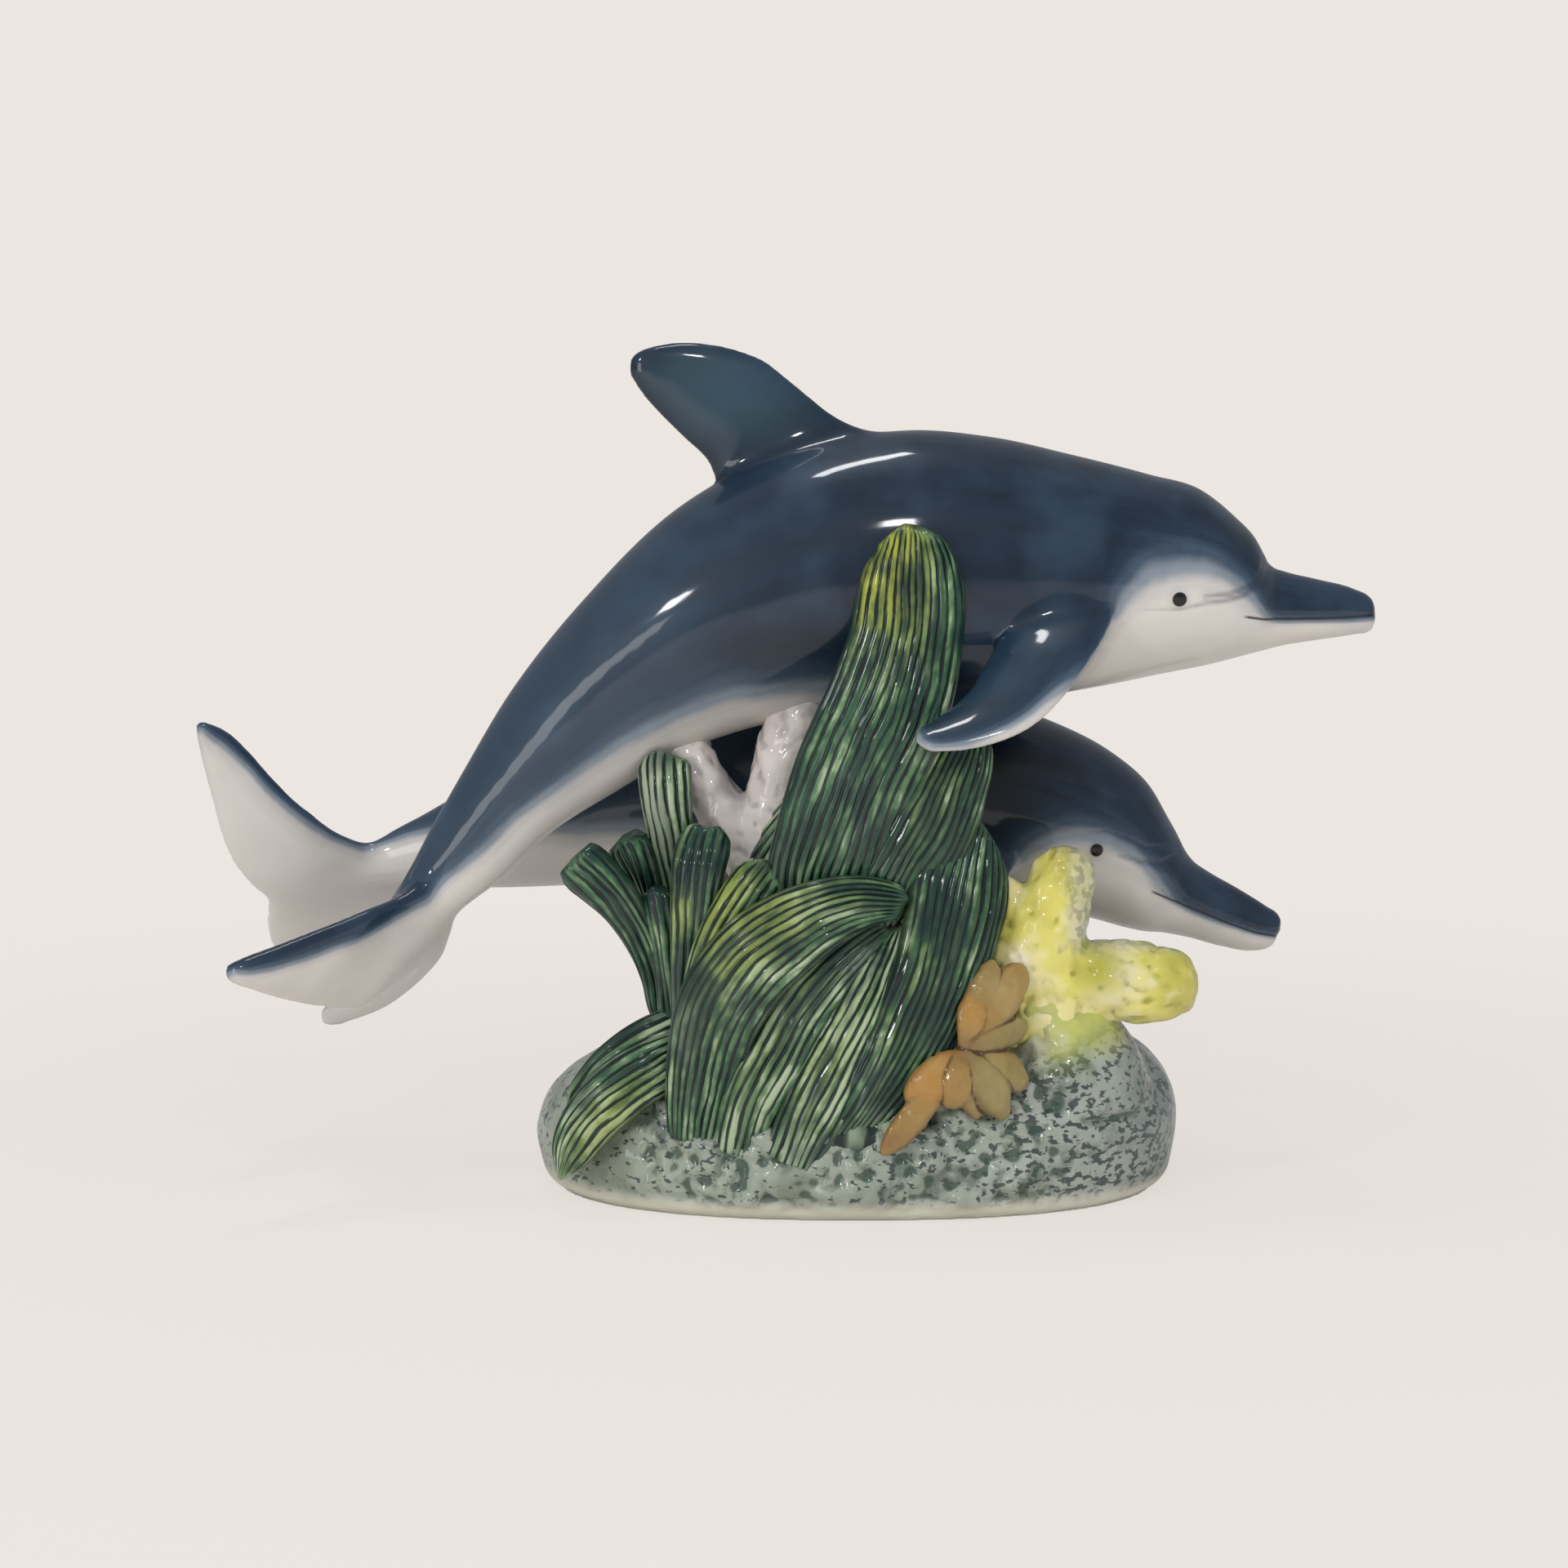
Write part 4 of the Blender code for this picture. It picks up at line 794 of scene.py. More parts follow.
def shapeLeaf(name, facing, glow, rows, seed):
    turnOf = math.radians(facing)
    frontWay = np.array([math.sin(turnOf), -math.cos(turnOf), 0.0])
    widest = max(row[3] for row in rows)
    ribs = max(4, round(widest / seaGrass["ribPitch"]))
    length = lengthOf(rows)
    piece = newBlob(name, max(24, int(length / seaGrass["ringGap"])), ribs * seaGrass["ribSegments"])
    share, turn, size = ringsOf(piece)
    place = curveAt(rows, share, 3)
    run = wayAlong(rows, share, 0.03)
    across = unit(np.cross(run, frontWay))
    face = unit(np.cross(across, run))
    face *= np.sign(face @ frontWay)[:, None]
    width = place[:, 3]
    thick = np.minimum(seaGrass["thickness"], seaGrass["narrowThickness"] * width) / 2
    q = 1 - np.abs(turn) / (math.pi / 2)  # 1 in the middle of the front, -1 in the middle of the back
    side = np.sign(turn) * (1 - np.abs(q))
    crown = np.sqrt(np.clip(1 - np.abs(side) ** seaGrass["sectionPower"], 0, 1)) * np.where(q >= 0, 1.0, -1.0)
    # the ribs wander and stray as if drawn by hand, and some are cut deeper than others
    wander = 0.022 * np.sin(7 * share + seed) + 0.014 * np.sin(17 * share + 2.3 * seed + 3 * side)
    wander = wander + 0.03 * np.sin(5 * side + seed)
    along, over = share * length, side * width / 2
    chart = np.column_stack((over + 60 * (q < 0), 0.45 * along, np.full(len(along), 9.0 * seed)))
    stray = sum(far * noiseAt(chart, reach, chance) for far, reach, chance in seaGrass["strayRibs"])
    phase = ribs / 2 * (side + wander * (1 - side**2)) + stray * (1 - side**4) + 0.5 * (ribs % 2)
    groove = (0.5 - 0.5 * np.cos(2 * math.pi * phase)) ** 2.2
    groove = groove * np.where(q > -0.15, 1.0, 0.35) * fade(1.0, 0.9, np.abs(side) * (q < 0.2))
    groove = groove * fade(0.99, 0.95, share)
    swell = np.clip(0.95 + 0.9 * noiseAt(chart, 4.5, 8), 0.25, 1.7)
    depth = seaGrass["ribDepth"] * np.clip(width / 9, 0.3, 1) * swell
    out = thick * crown - groove * depth * np.where(q >= 0, 1.0, -1.0)
    out = out + 0.5 * np.sin(4 * share + 3 * side + 2 * seed) * (1 - side**2) * (q > 0)  # a gentle warp
    points = place[:, :3] + across * (side * width / 2 * size)[:, None] + face * (out * size)[:, None]
    corners, ragged = seaGrass["droop"]
    drop = fade(0.85, 1.0, share) * (corners * width * side**2 + ragged * np.sin(4 * side + 2 * seed))
    points = points - run * drop[:, None]
    writePoints(piece, points * mm)
    keep(piece, "groove", groove * np.clip(0.55 + 0.45 * swell, 0, 1))
    keep(piece, "tip", share)
    strength, centre, spread, lift = glow
    keep(piece, "lift", np.full(len(share), lift))
    # the yellow patch is real paint, kept to the side the light falls on as painted light
    keep(piece, "tint", strength * np.exp(-(((share - centre) / spread) ** 2)) * fade(0.8, -0.5, side))
    keep(piece, "along", along * mm)
    keep(piece, "over", (over + 40.0 * seed) * mm)
    # painted shade: darker towards the sides of each leaf, where it turns from the light, and round the rim of its
    # blunt end
    keep(piece, "edge", np.maximum(np.abs(side) ** 4, 0.8 * fade(0.93, 0.99, share)))
    return piece


def shapeStem():
    piece = newBlob("grassStem", 60, 160)
    share, turn, size = ringsOf(piece)
    z, x, y, halfLength, halfDepth = curveAt(seaGrass["stem"], share, 3).T
    ribs = seaGrass["stemRibs"]
    groove = (0.5 - 0.5 * np.cos(ribs * turn + 3 * np.sin(z / 14))) ** 1.4
    grow = size * (1 - 0.02 * groove)
    points = np.column_stack((x + halfLength * np.sin(turn) * grow, y + halfDepth * np.cos(turn) * grow, z))
    writePoints(piece, points * mm)
    keep(piece, "groove", groove)
    keep(piece, "tip", share * 0.4)
    for name, value in (("tint", -0.2), ("edge", 0.0), ("lift", 0.0)):
        keep(piece, name, np.full(len(share), value))
    keep(piece, "along", z * mm)
    keep(piece, "over", turn * 30 * mm)
    return piece


def grassGlaze():
    glaze, tree, shader = startGlaze("grassGlaze")
    place = objectPlace(tree)
    paint = seaGrass["paint"]
    groove, tip, tint, edge = (painted(tree, name) for name in ("groove", "tip", "tint", "edge"))
    chart = chartOf(tree, "over", "along")
    patches = speckle(tree, chart, 90.0, 3.0, 0.6, (1.6, 0.8, 1))
    inky = speckle(tree, chart, 60.0, 2.0, 0.5, (1.5, 0.8, 1))
    ribTone = speckle(tree, chart, 190.0, 2.0, 0.5, (2.2, 0.25, 1))
    fine = speckle(tree, chart, 300.0, 3.0, 0.6, (1.8, 0.3, 1))
    tone = plus(tree, times(tree, patches, 0.6), times(tree, ribTone, 0.4))
    tone = plus(tree, tone, painted(tree, "lift"))
    glow, warm = sums(tree, "MAXIMUM", tint, 0.0), stretch(tree, tone, 0.38, 0.56, (0.1, 0.9))
    nearRoot = stretch(tree, tip, 0.04, 0.2, (1.0, 0.0))
    ridge = layCoats(tree, ramp(tree, stretch(tree, tone, 0.36, 0.64), paint["ridge"]), paint, {
        # the yellow patch: real paint, partly painted light on the lit side
        "yellow": sums(tree, "MULTIPLY", glow, warm, clamp=True),
        "pale": sums(tree, "MAXIMUM", times(tree, tint, -1.0), 0.0),
        "pooled": times(tree, nearRoot, stretch(tree, inky, 0.42, 0.6, (0.0, 0.8))),
    })
    hollow = ramp(tree, stretch(tree, patches, 0.4, 0.7), paint["hollow"])
    worn = plus(tree, groove, stretch(tree, fine, 0.3, 0.7, (-0.25, 0.25)))
    colour = layCoats(tree, blend(tree, stretch(tree, worn, 0.2, 0.7), ridge, hollow), paint, {
        "inky": stretch(tree, inky, 0.52, 0.64, (0.0, 0.72)),
        # painted shade on the leaf sides and ends
        "edge": stretch(tree, edge, 0.5, 1.0, (0.0, 0.8)),
    })
    fireGlaze(tree, shader, colour, speckle(tree, place, 120.0, 2.0, 0.5), 0.3, 0.0008)
    return glaze


def shapeLimb(name, rows):
    length = lengthOf(rows)
    piece = newBlob(name, max(24, int(length / 0.8)), 48)
    share, turn, size = ringsOf(piece)
    place = curveAt(rows, share, 3)
    run = wayAlong(rows, share, 0.03)
    across = unit(np.cross(run, (0.0, 1.0, 0.0)))
    through = unit(np.cross(across, run))
    points = place[:, :3] + across * (place[:, 3] * np.sin(turn) * size)[:, None]
    points = points + through * (place[:, 4] * np.cos(turn) * size)[:, None]
    writePoints(piece, points * mm)
    return piece


# the rock: half length, height, half depth and middle, from the centre of the foot to the top
rock = {
    "rows": [
        (0.5, 0, 0.3, 0), (40, 0, 24, 0), (64, 0, 38.5, 0), (67.2, 0.25, 40.8, 0), (69.6, 1.6, 43, 0),
        (71.4, 4, 44.8, 0), (72.6, 8, 46.0, 0), (73.0, 12, 46.4, 0), (72.2, 18, 45.8, 0.8), (69.2, 24, 43.4, 2),
        (64.5, 28.7, 40.2, 3.4), (58, 33.2, 36, 4.8), (48, 37.2, 30.4, 5.8), (34, 40.4, 22, 7),
        (17, 42.2, 11, 7.8), (0.5, 42.8, 0.4, 8),
    ],
    "squareness": 2.3,
    "mound": [  # the rise below the yellow coral: x, y, z, radius across and along the view
        (44, -17, 18, 10, 8), (44, -17, 22, 20, 17), (44, -18, 29, 21.5, 18), (43.8, -19, 35.6, 19, 16),
        (43.4, -20, 39.4, 16, 13.5), (42.4, -21, 45, 12, 10.5), (42, -21.5, 48, 8, 7.5), (42, -21.5, 49, 2, 2),
    ],
    "seams": [(65, -16, 31, 15), (62, -6, 34, 13)],  # where the rise runs out into the rock: x, y, z, radius
    "seamPasses": 60,
    "hollowPasses": 14,  # how wide a hollow counts for the pooled glaze and painted shade
    "voxel": 0.0009,
    "smoothing": 4,
    "swell": [(1.1, 21, 1), (0.5, 8, 2)],  # height of the lumps, their size, seed
    "poured": [(2.3, 6.5, 3), (1.9, 3.0, 7)],  # the thick glaze at the front
    "lemonAt": (43, -24, 52),
    "paint": {
        "ground": [(0.0, (134, 144, 126)), (0.35, (162, 171, 156)), (0.7, (184, 190, 178)), (1.0, (204, 208, 199))],
        "lemon": [(0.0, (146, 160, 84)), (0.5, (194, 198, 110)), (1.0, (206, 206, 176))],
        "right": (138, 148, 143),
        "front": (92, 110, 94),
        "specks": (40, 52, 58),
        # painted shade for the right end of the rock
        "far": (84, 96, 98),
        "shade": (66, 82, 76),
        # pooled glaze and painted shade in the hollows
        "pooledGlazeAndShade": (58, 80, 68),
        "rim": (222, 222, 204),
    },
}


def shapeRock():
    stone = newBlob("rock", 120, 200)
    share, turn, size = ringsOf(stone)
    halfLength, z, halfDepth, middle = curveAt(rock["rows"], share, 2).T
    c, s = np.sin(turn), np.cos(turn)
    power = rock["squareness"]
    reach = (np.abs(c) ** power + np.abs(s) ** power) ** (-1 / power) * size
    writePoints(stone, np.column_stack((middle + halfLength * reach * c, halfDepth * reach * s, z)) * mm)
    piece = fuse([stone, shapeLimb("mound", rock["mound"])], "rock", rock["voxel"], rock["smoothing"])
    soften(piece, rock["seams"], rock["seamPasses"])
    points = readPoints(piece) / mm
    z = points[:, 2]
    lumps = sum(high * noiseAt(points, wide, seed) for high, wide, seed in rock["swell"]) - 0.5
    poured = fade(-10, -34, points[:, 1]) * fade(-60, -34, points[:, 0]) * fade(58, 34, points[:, 0])
    lumps = lumps + poured * sum(high * noiseAt(points, wide, seed) for high, wide, seed in rock["poured"])
    points = points + readNormals(piece) * (lumps * fade(1.0, 6.0, z))[:, None]
    points[:, 2] = np.where(z < 0.5, 0.0, np.maximum(points[:, 2], 0.0))  # the foot is ground flat
    writePoints(piece, points * mm)
    x, y, z = (points - np.array(rock["lemonAt"])).T
    away = np.sqrt((x / 1.15) ** 2 + (y / 1.5) ** 2 + z**2)
    markHollows(piece, rock["hollowPasses"])
    keep(piece, "lemon", fade(24, 13, away + 2.5 * noiseAt(points, 6, 8)))
    finishPiece(piece, rockGlaze())
    print("rock", len(piece.data.polygons), "faces")
    return piece


def rockGlaze():
    glaze, tree, shader = startGlaze("rockGlaze")
    place = objectPlace(tree)
    x, y, z = axes(tree, place)
    paint = rock["paint"]
    clouds = speckle(tree, place, 48.0, 3.0, 0.55)
    cloudy = stretch(tree, clouds, 0.3, 0.7)
    right = stretch(tree, x, 0.02, 0.06)
    front = times(tree, stretch(tree, x, 0.012, 0.05, (1.0, 0.0)), stretch(tree, clouds, 0.42, 0.62))
    sponge = speckle(tree, place, 600.0, 2.0, 0.5, (0.8, 0.8, 1.25))
    area = plus(tree, speckle(tree, place, 36.0, 1.0, 0.5), times(tree, right, 0.3))
    level = plus(tree, sponge, times(tree, area, 0.2))
    shade = stretch(tree, speckle(tree, place, 170.0, 3.0, 0.6), 0.50, 0.64, (0.0, 0.6))
    ground = layCoats(tree, ramp(tree, cloudy, paint["ground"]), paint, {
        "right": times(tree, right, 0.6),
        "front": times(tree, front, 0.6),
        "specks": times(tree, stretch(tree, level, 0.676, 0.736), 0.88),
        # painted shade: the far right end of the rock is darkened where it turns from the light
        "far": stretch(tree, x, 0.050, 0.074, (0.0, 0.45)),
        "shade": times(tree, shade, stretch(tree, y, -0.038, -0.028, (1.0, 0.3))),
        # darker in the hollows: pooled glaze and painted shade
        "pooledGlazeAndShade": stretch(tree, painted(tree, "hollow"), 0.03, 0.35, (0.0, 0.85)),
    })
    ground = blend(tree, painted(tree, "lemon"), ground, ramp(tree, cloudy, paint["lemon"]))
    ground = layCoats(tree, ground, paint, {"rim": stretch(tree, z, 0.0015, 0.006, (1.0, 0.0))})
    fireGlaze(tree, shader, ground, speckle(tree, place, 170.0, 2.0, 0.5), 0.35, 0.0010)
    return glaze


# the corals: each limb is x, y, z, radius across and radius along the view
yellowCoral = {
    "name": "yellowCoral",
    "knobble": 1.0,
    "slot": "yellow_coral_glaze",
    "paint": {
        "body": [(0.0, (208, 198, 98)), (0.3, (230, 220, 114)), (0.6, (238, 228, 158)), (1.0, (240, 234, 208))],
        "olive": (156, 158, 48),
        "chalk": (200, 200, 186),
        "sponge": (132, 136, 112),
        "pits": (146, 152, 80),
        "hollow": (150, 150, 56),
        "ridge": (238, 234, 214),
    },
    "limbs": {
        "upright": [
            (40, -21, 36, 12.5, 9.5), (40, -22, 46, 13.2, 10), (40, -22.3, 55, 12.2, 9.5),
            (41.5, -22.5, 62, 10, 8.6), (44, -22.3, 69, 8, 7.4), (45.2, -22, 74, 7, 6.6),
            (45.4, -22, 77.4, 5.4, 5.0), (45.4, -22, 79.2, 2.8, 2.6), (45.4, -22, 79.8, 0.4, 0.4),
        ],
        "sideways": [
            (38, -22, 46, 10, 9), (50, -22, 49.6, 9.6, 8.6), (60, -21.7, 49.6, 9, 8), (68, -21, 49.2, 8.2, 7.6),
            (72.6, -20.6, 48.8, 6.4, 6.2), (75.0, -20.5, 48.7, 3.6, 3.4), (75.8, -20.5, 48.7, 0.4, 0.4),
        ],
        "shoulder": [
            (39, -20, 44, 11, 8), (36, -22, 56, 9.4, 7.5), (34.4, -22, 65, 6.4, 5.5), (33.6, -22, 70, 4, 3.5),
            (33.4, -22, 72.6, 2, 1.8), (33.4, -22, 73.4, 0.3, 0.3),
        ],
    },
}

whiteCoral = {
    "name": "whiteCoral",
    "knobble": 0.8,
    "slot": "white_coral_glaze",
    "paint": {
        "body": [(0.0, (226, 218, 212)), (0.6, (214, 204, 200)), (1.0, (176, 172, 172))],
        "pits": (150, 150, 152),
        "hollow": (128, 128, 130),
    },
    "limbs": {
        "left": [
            (-20, -17, 66, 6.5, 7), (-24, -16, 78, 6.2, 6), (-29, -15.4, 86, 6, 5.6), (-34, -14.2, 93, 5.6, 5.4),
            (-37.5, -12.8, 99, 5.4, 5.2), (-38.6, -12.2, 102.4, 4.2, 4), (-38.8, -12, 104, 0.4, 0.4),
        ],
        "right": [
            (-20, -19, 66, 6.5, 7), (-20.5, -18, 80, 6.5, 6.4), (-18, -17, 92, 6.8, 6.4),
            (-14.5, -15, 102, 7.8, 7.2), (-12, -13.5, 108, 7.8, 7.2), (-11, -12.5, 112, 5, 5),
            (-11, -12.5, 113, 0.4, 0.4),
        ],
    },
}


coralSkin = {
    "voxel": 0.0006,
    "smoothing": 10,
    "bumps": [(0.8, 4.5, 4), (0.8, 11, 5), (0.3, 2.4, 9)],  # height, size, seed
    "pits": (0.4, 2.6, 6),
    "hollowPasses": 12,
}


def shapeCoral(coral, glaze):
    limbs = [shapeLimb(coral["name"] + limb, rows) for limb, rows in coral["limbs"].items()]
    piece = fuse(limbs, coral["name"], coralSkin["voxel"], coralSkin["smoothing"])
    points = readPoints(piece) / mm
    bumps = sum(high * noiseAt(points, wide, seed) for high, wide, seed in coralSkin["bumps"])
    deep, wide, seed = coralSkin["pits"]
    pits = fade(0.15, 0.5, noiseAt(points, wide, seed))
    push = coral["knobble"] * (bumps - deep * pits)
    writePoints(piece, (points + readNormals(piece) * push[:, None]) * mm)
    keep(piece, "pits", pits)
    markHollows(piece, coralSkin["hollowPasses"])
    finishPiece(piece, glaze)
    print(coral["name"], len(piece.data.polygons), "faces")
    return piece


def yellowGlaze():
    glaze, tree, shader = startGlaze("yellowGlaze")
    place = objectPlace(tree)
    x, _, z = axes(tree, place)
    paint = yellowCoral["paint"]
    hollow = painted(tree, "hollow")
    clouds = stretch(tree, speckle(tree, place, 60.0, 2.0, 0.5), 0.3, 0.72)
    knob = times(tree, stretch(tree, x, 0.060, 0.070), stretch(tree, z, 0.046, 0.056))
    saddle = times(tree, stretch(tree, x, 0.046, 0.053), stretch(tree, x, 0.053, 0.064, (1.0, 0.0)))
    saddle = times(tree, saddle, stretch(tree, z, 0.044, 0.054))
    pitted = times(tree, stretch(tree, x, 0.044, 0.049), stretch(tree, z, 0.055, 0.062))
    sponge = stretch(tree, speckle(tree, place, 520.0, 1.5, 0.4), 0.48, 0.58)
    colour = layCoats(tree, ramp(tree, clouds, paint["body"]), paint, {
        "olive": sums(tree, "ADD", times(tree, knob, 0.5), times(tree, saddle, 0.7), clamp=True),
        "chalk": times(tree, pitted, 0.5),
        "sponge": times(tree, times(tree, pitted, sponge), 0.6),
        "pits": times(tree, painted(tree, "pits"), 0.15),
        # darker in the hollows: pooled glaze and painted shade
        "hollow": stretch(tree, hollow, 0.03, 0.35, (0.0, 0.7)),
        "ridge": stretch(tree, hollow, -0.45, -0.1, (0.75, 0.0)),
    })
    fireGlaze(tree, shader, colour, speckle(tree, place, 260.0, 2.0, 0.5), 0.4, 0.0008)
    return glaze


def whiteGlaze():
    glaze, tree, shader = startGlaze("whiteGlaze")
    place = objectPlace(tree)
    paint = whiteCoral["paint"]
    clouds = stretch(tree, speckle(tree, place, 60.0, 3.0, 0.5), 0.35, 0.7)
    colour = layCoats(tree, ramp(tree, clouds, paint["body"]), paint, {
        "pits": times(tree, painted(tree, "pits"), 0.5),
        # darker in the hollows: pooled glaze and painted shade
        "hollow": stretch(tree, painted(tree, "hollow"), 0.05, 0.4, (0.0, 0.6)),
    })
    fireGlaze(tree, shader, colour, speckle(tree, place, 240.0, 2.0, 0.5), 0.5, 0.0009)
    return glaze


# the anemone: its petals run from the middle to x, y, z, with a half width and a share of orange
anemone = {
    "voxel": 0.0005,
    "smoothing": 4,
    "blurPasses": 10,
    "hollowPasses": 12,
    "outward": (0.3, -0.9, 0.3),
    "bulge": 0.48,  # half thickness as a share of the half width
    "arch": 1.6,
    "overlap": 0.9,  # every second petal lies this much higher
    "lumps": [(0.5, 3.4, 2), (0.25, 1.6, 4)],
    "paint": {
        "olive": (138, 126, 78),
        "orange": (182, 134, 66),
        "straw": (182, 166, 116),
        "burnt": (104, 66, 38),
        "groove": (104, 66, 30),
        "hollow": (66, 42, 20),
    },
    "middle": (22.2, -41.0, 38.1),
    "petals": [
        (29.8, -34.5, 57.0, 4.0, 0.3), (36.2, -30.5, 55.0, 4.8, 0.5), (26.0, -38.0, 51.5, 3.6, 0.8),
        (37.0, -34.0, 42.6, 3.4, 0.1), (37.0, -38.0, 29.6, 4.6, 0.2), (32.0, -41.8, 22.9, 4.4, 0.1),
        (26.3, -43.0, 23.4, 4.2, 0.2), (19.6, -44.0, 25.4, 4.2, 0.5), (10.4, -46.0, 26.8, 4.6, 0.9),
        (4.6, -46.6, 15.8, 3.4, 0.5),
    ],
}


def shapePetal(k, tip):
    piece = newBlob(f"petal{k}", 60, 40)
    share, turn, size = ringsOf(piece)
    start, end = np.array(anemone["middle"]), np.array(tip[:3])
    way = (end - start) / np.linalg.norm(end - start)
    out = np.array(anemone["outward"])
    across = np.cross(way, out)
    across = across / np.linalg.norm(across)
    face = np.cross(across, way)
    face = face * np.sign(face @ out)
    # a petal widens to about three fifths of its length, then closes in a round tip
    spread = 0.25 + 0.75 * np.sin(math.pi / 2 * np.clip(share / 0.62, 0, 1))
    wide = tip[3] * spread * (1 - np.clip((share - 0.6) / 0.4, 0, 1) ** 2) ** 0.6
    rise = anemone["arch"] * np.sin(math.pi * share) + anemone["overlap"] * (k % 2)
    dent = 0.1 * np.exp(-((np.sin(turn) / 0.25) ** 2)) * (np.cos(turn) > 0)
    points = start + (end - start) * share[:, None]
    points = points + face * (rise + (anemone["bulge"] * wide * np.cos(turn) - dent) * size)[:, None]
    points = points + across * (wide * np.sin(turn) * size)[:, None]
    writePoints(piece, points * mm)
    keep(piece, "orange", np.full(len(share), tip[4]))
    keep(piece, "groove", np.maximum(fade(0.6, 1.0, np.abs(np.sin(turn))), fade(0.42, 0.04, share)))
    return piece


def shapeAnemone():
    petals = [shapePetal(k, tip) for k, tip in enumerate(anemone["petals"])]
    piece = fuse(petals, "anemone", anemone["voxel"], anemone["smoothing"])
    blur(piece, "orange", anemone["blurPasses"])
    markHollows(piece, anemone["hollowPasses"])
    points = readPoints(piece) / mm
    lumps = sum(high * noiseAt(points, wide, seed) for high, wide, seed in anemone["lumps"])
    writePoints(piece, (points + readNormals(piece) * lumps[:, None]) * mm)
    finishPiece(piece, anemoneGlaze())
    print("anemone", len(piece.data.polygons), "faces")
    return piece


def anemoneGlaze():
    glaze, tree, shader = startGlaze("anemoneGlaze")
    place = objectPlace(tree)
    paint = anemone["paint"]
    clouds = speckle(tree, place, 90.0, 3.0, 0.5)
    leftEnd = stretch(tree, axes(tree, place)[0], 0.003, 0.015, (1.0, 0.0))
    petals = blend(tree, painted(tree, "orange"), paint["olive"], paint["orange"])
    colour = layCoats(tree, petals, paint, {
        "straw": stretch(tree, clouds, 0.4, 0.75, (0.0, 0.4)),
        "burnt": times(tree, leftEnd, stretch(tree, clouds, 0.35, 0.6, (0.2, 0.9))),
        "groove": times(tree, painted(tree, "groove"), 0.5),
        # darker in the hollows between the petals: pooled glaze and painted shade
        "hollow": stretch(tree, painted(tree, "hollow"), 0.02, 0.13, (0.0, 0.9)),
    })
    fireGlaze(tree, shader, colour, speckle(tree, place, 160.0, 2.0, 0.5), 0.4, 0.0008)
    return glaze


pieces = [shapeDolphin(upperDolphin), shapeDolphin(lowerDolphin)]
green = grassGlaze()
for seed, (name, (facing, glow, rows)) in enumerate(seaGrass["leaves"].items()):
    pieces.append(shapeLeaf(name, facing, glow, rows, seed))
pieces.append(shapeStem())
for piece in pieces[2:]:
    turnOutwards(piece)
    smoothShade(piece)
    finishPiece(piece, green)
print("sea grass", sum(len(piece.data.polygons) for piece in pieces[2:]), "faces")
pieces.append(shapeRock())
pieces.append(shapeCoral(yellowCoral, yellowGlaze()))
pieces.append(shapeCoral(whiteCoral, whiteGlaze()))
pieces.append(shapeAnemone())
for piece in pieces:
    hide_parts("dolphin_figurine")


# the studio: a pale floor, two large soft lights for the colours and small ones for the gloss
studio = {
    "paper": (236, 230, 225),
    "target": (-16.3, 0.0, 90.9),
    "distance": 900.0,
    "elevation": 8.0,
    "lens": 91.3,
    "room": (146, 147, 150),
    "aim": (-10, 0, 90),
    "lamps": {  # place, power in watts, width and height in metres, whether the gloss shows it
        "key": ((-560, -640, 900), 7.8, 1.7, 1.5, False),
        "fill": ((760, -560, 520), 3.2, 0.9, 0.9, False),
        "top": ((-150, 150, 1300), 2.4, 0.46, 0.09, True),
        "glint": ((-650, -780, 450), 0.9, 0.09, 0.09, True),
        "front": ((-20, -853, 710), 0.8, 0.08, 0.08, True),
        "strip": ((-600, -720, 60), 0.9, 0.17, 0.46, True),
    },
}


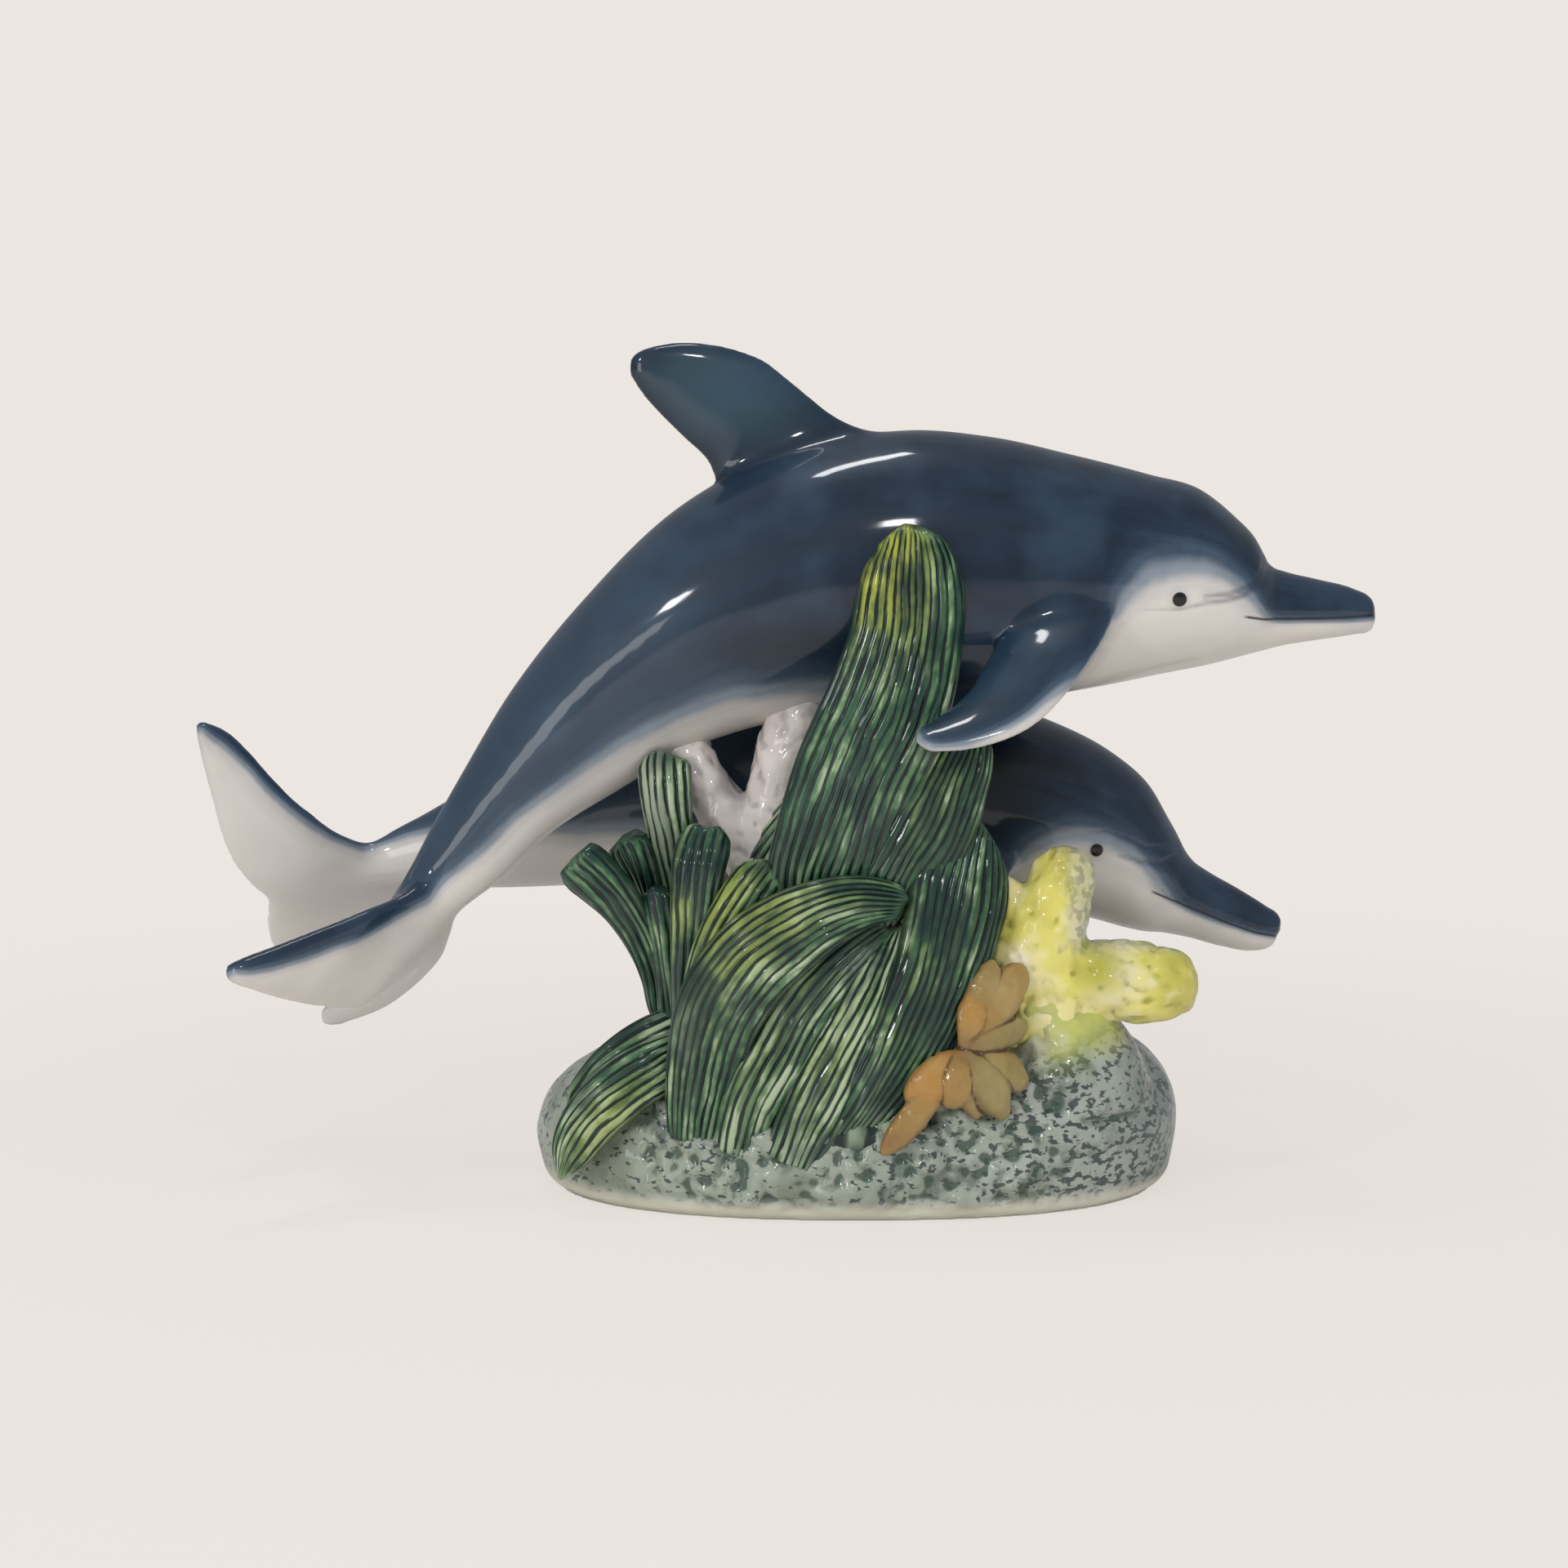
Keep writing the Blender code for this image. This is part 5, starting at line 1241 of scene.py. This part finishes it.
def layFloor():
    bpy.ops.object.select_all(action="DESELECT")
    bpy.ops.mesh.primitive_plane_add(size=6.0, location=(0, 0, -0.0002))
    floor = bpy.context.object
    floor.name = "floor"
    paper = bpy.data.materials.new("paper")
    paper.use_nodes = True
    tree = paper.node_tree
    shader = tree.nodes["Principled BSDF"]
    shader.inputs["Base Color"].default_value = srgb(*studio["paper"])
    shader.inputs["Roughness"].default_value = 0.9
    glow = tree.nodes.new("ShaderNodeEmission")
    glow.inputs["Color"].default_value = srgb(*studio["paper"])
    seen = tree.nodes.new("ShaderNodeLightPath").outputs["Is Camera Ray"]
    away = tree.nodes.new("ShaderNodeVectorMath")
    away.operation = "LENGTH"
    tree.links.new(objectPlace(tree), away.inputs[0])
    even = stretch(tree, away.outputs["Value"], 0.12, 0.42, (0.8, 1.0))
    mix = tree.nodes.new("ShaderNodeMixShader")
    tree.links.new(times(tree, seen, even), mix.inputs["Fac"])
    tree.links.new(shader.outputs["BSDF"], mix.inputs[1])
    tree.links.new(glow.outputs["Emission"], mix.inputs[2])
    tree.links.new(mix.outputs["Shader"], tree.nodes["Material Output"].inputs["Surface"])
    floor.data.materials.append(paper)


def lightRoom():
    world = bpy.data.worlds.new("room")
    bpy.context.scene.world = world
    world.use_nodes = True
    tree = world.node_tree
    background = tree.nodes["Background"]
    seen = tree.nodes.new("ShaderNodeLightPath").outputs["Is Camera Ray"]
    tree.links.new(blend(tree, seen, studio["room"], studio["paper"]), background.inputs["Color"])
    background.inputs["Strength"].default_value = 1.0
    for name, (place, power, wide, high, shows) in studio["lamps"].items():
        where = Vector(place) * mm
        bpy.ops.object.light_add(type="AREA", location=where)
        light = bpy.context.object
        light.name = name
        light.data.shape = "RECTANGLE"
        light.data.size = wide
        light.data.size_y = high
        light.data.energy = power
        light.visible_glossy = shows
        light.rotation_euler = (Vector(studio["aim"]) * mm - where).to_track_quat("-Z", "Y").to_euler()


def setCamera():
    target = Vector(studio["target"]) * mm
    rise = math.radians(studio["elevation"])
    place = target + Vector((0, -math.cos(rise), math.sin(rise))) * studio["distance"] * mm
    bpy.ops.object.camera_add(location=place)
    camera = bpy.context.object
    camera.rotation_euler = (target - place).to_track_quat("-Z", "Y").to_euler()
    camera.data.sensor_width = 36.0
    camera.data.lens = studio["lens"]
    camera.data.clip_start = 0.05
    camera.data.clip_end = 20
    bpy.context.scene.camera = camera


layFloor()
lightRoom()
setCamera()
bpy.context.scene.view_settings.view_transform = "Standard"
print("the studio is set")
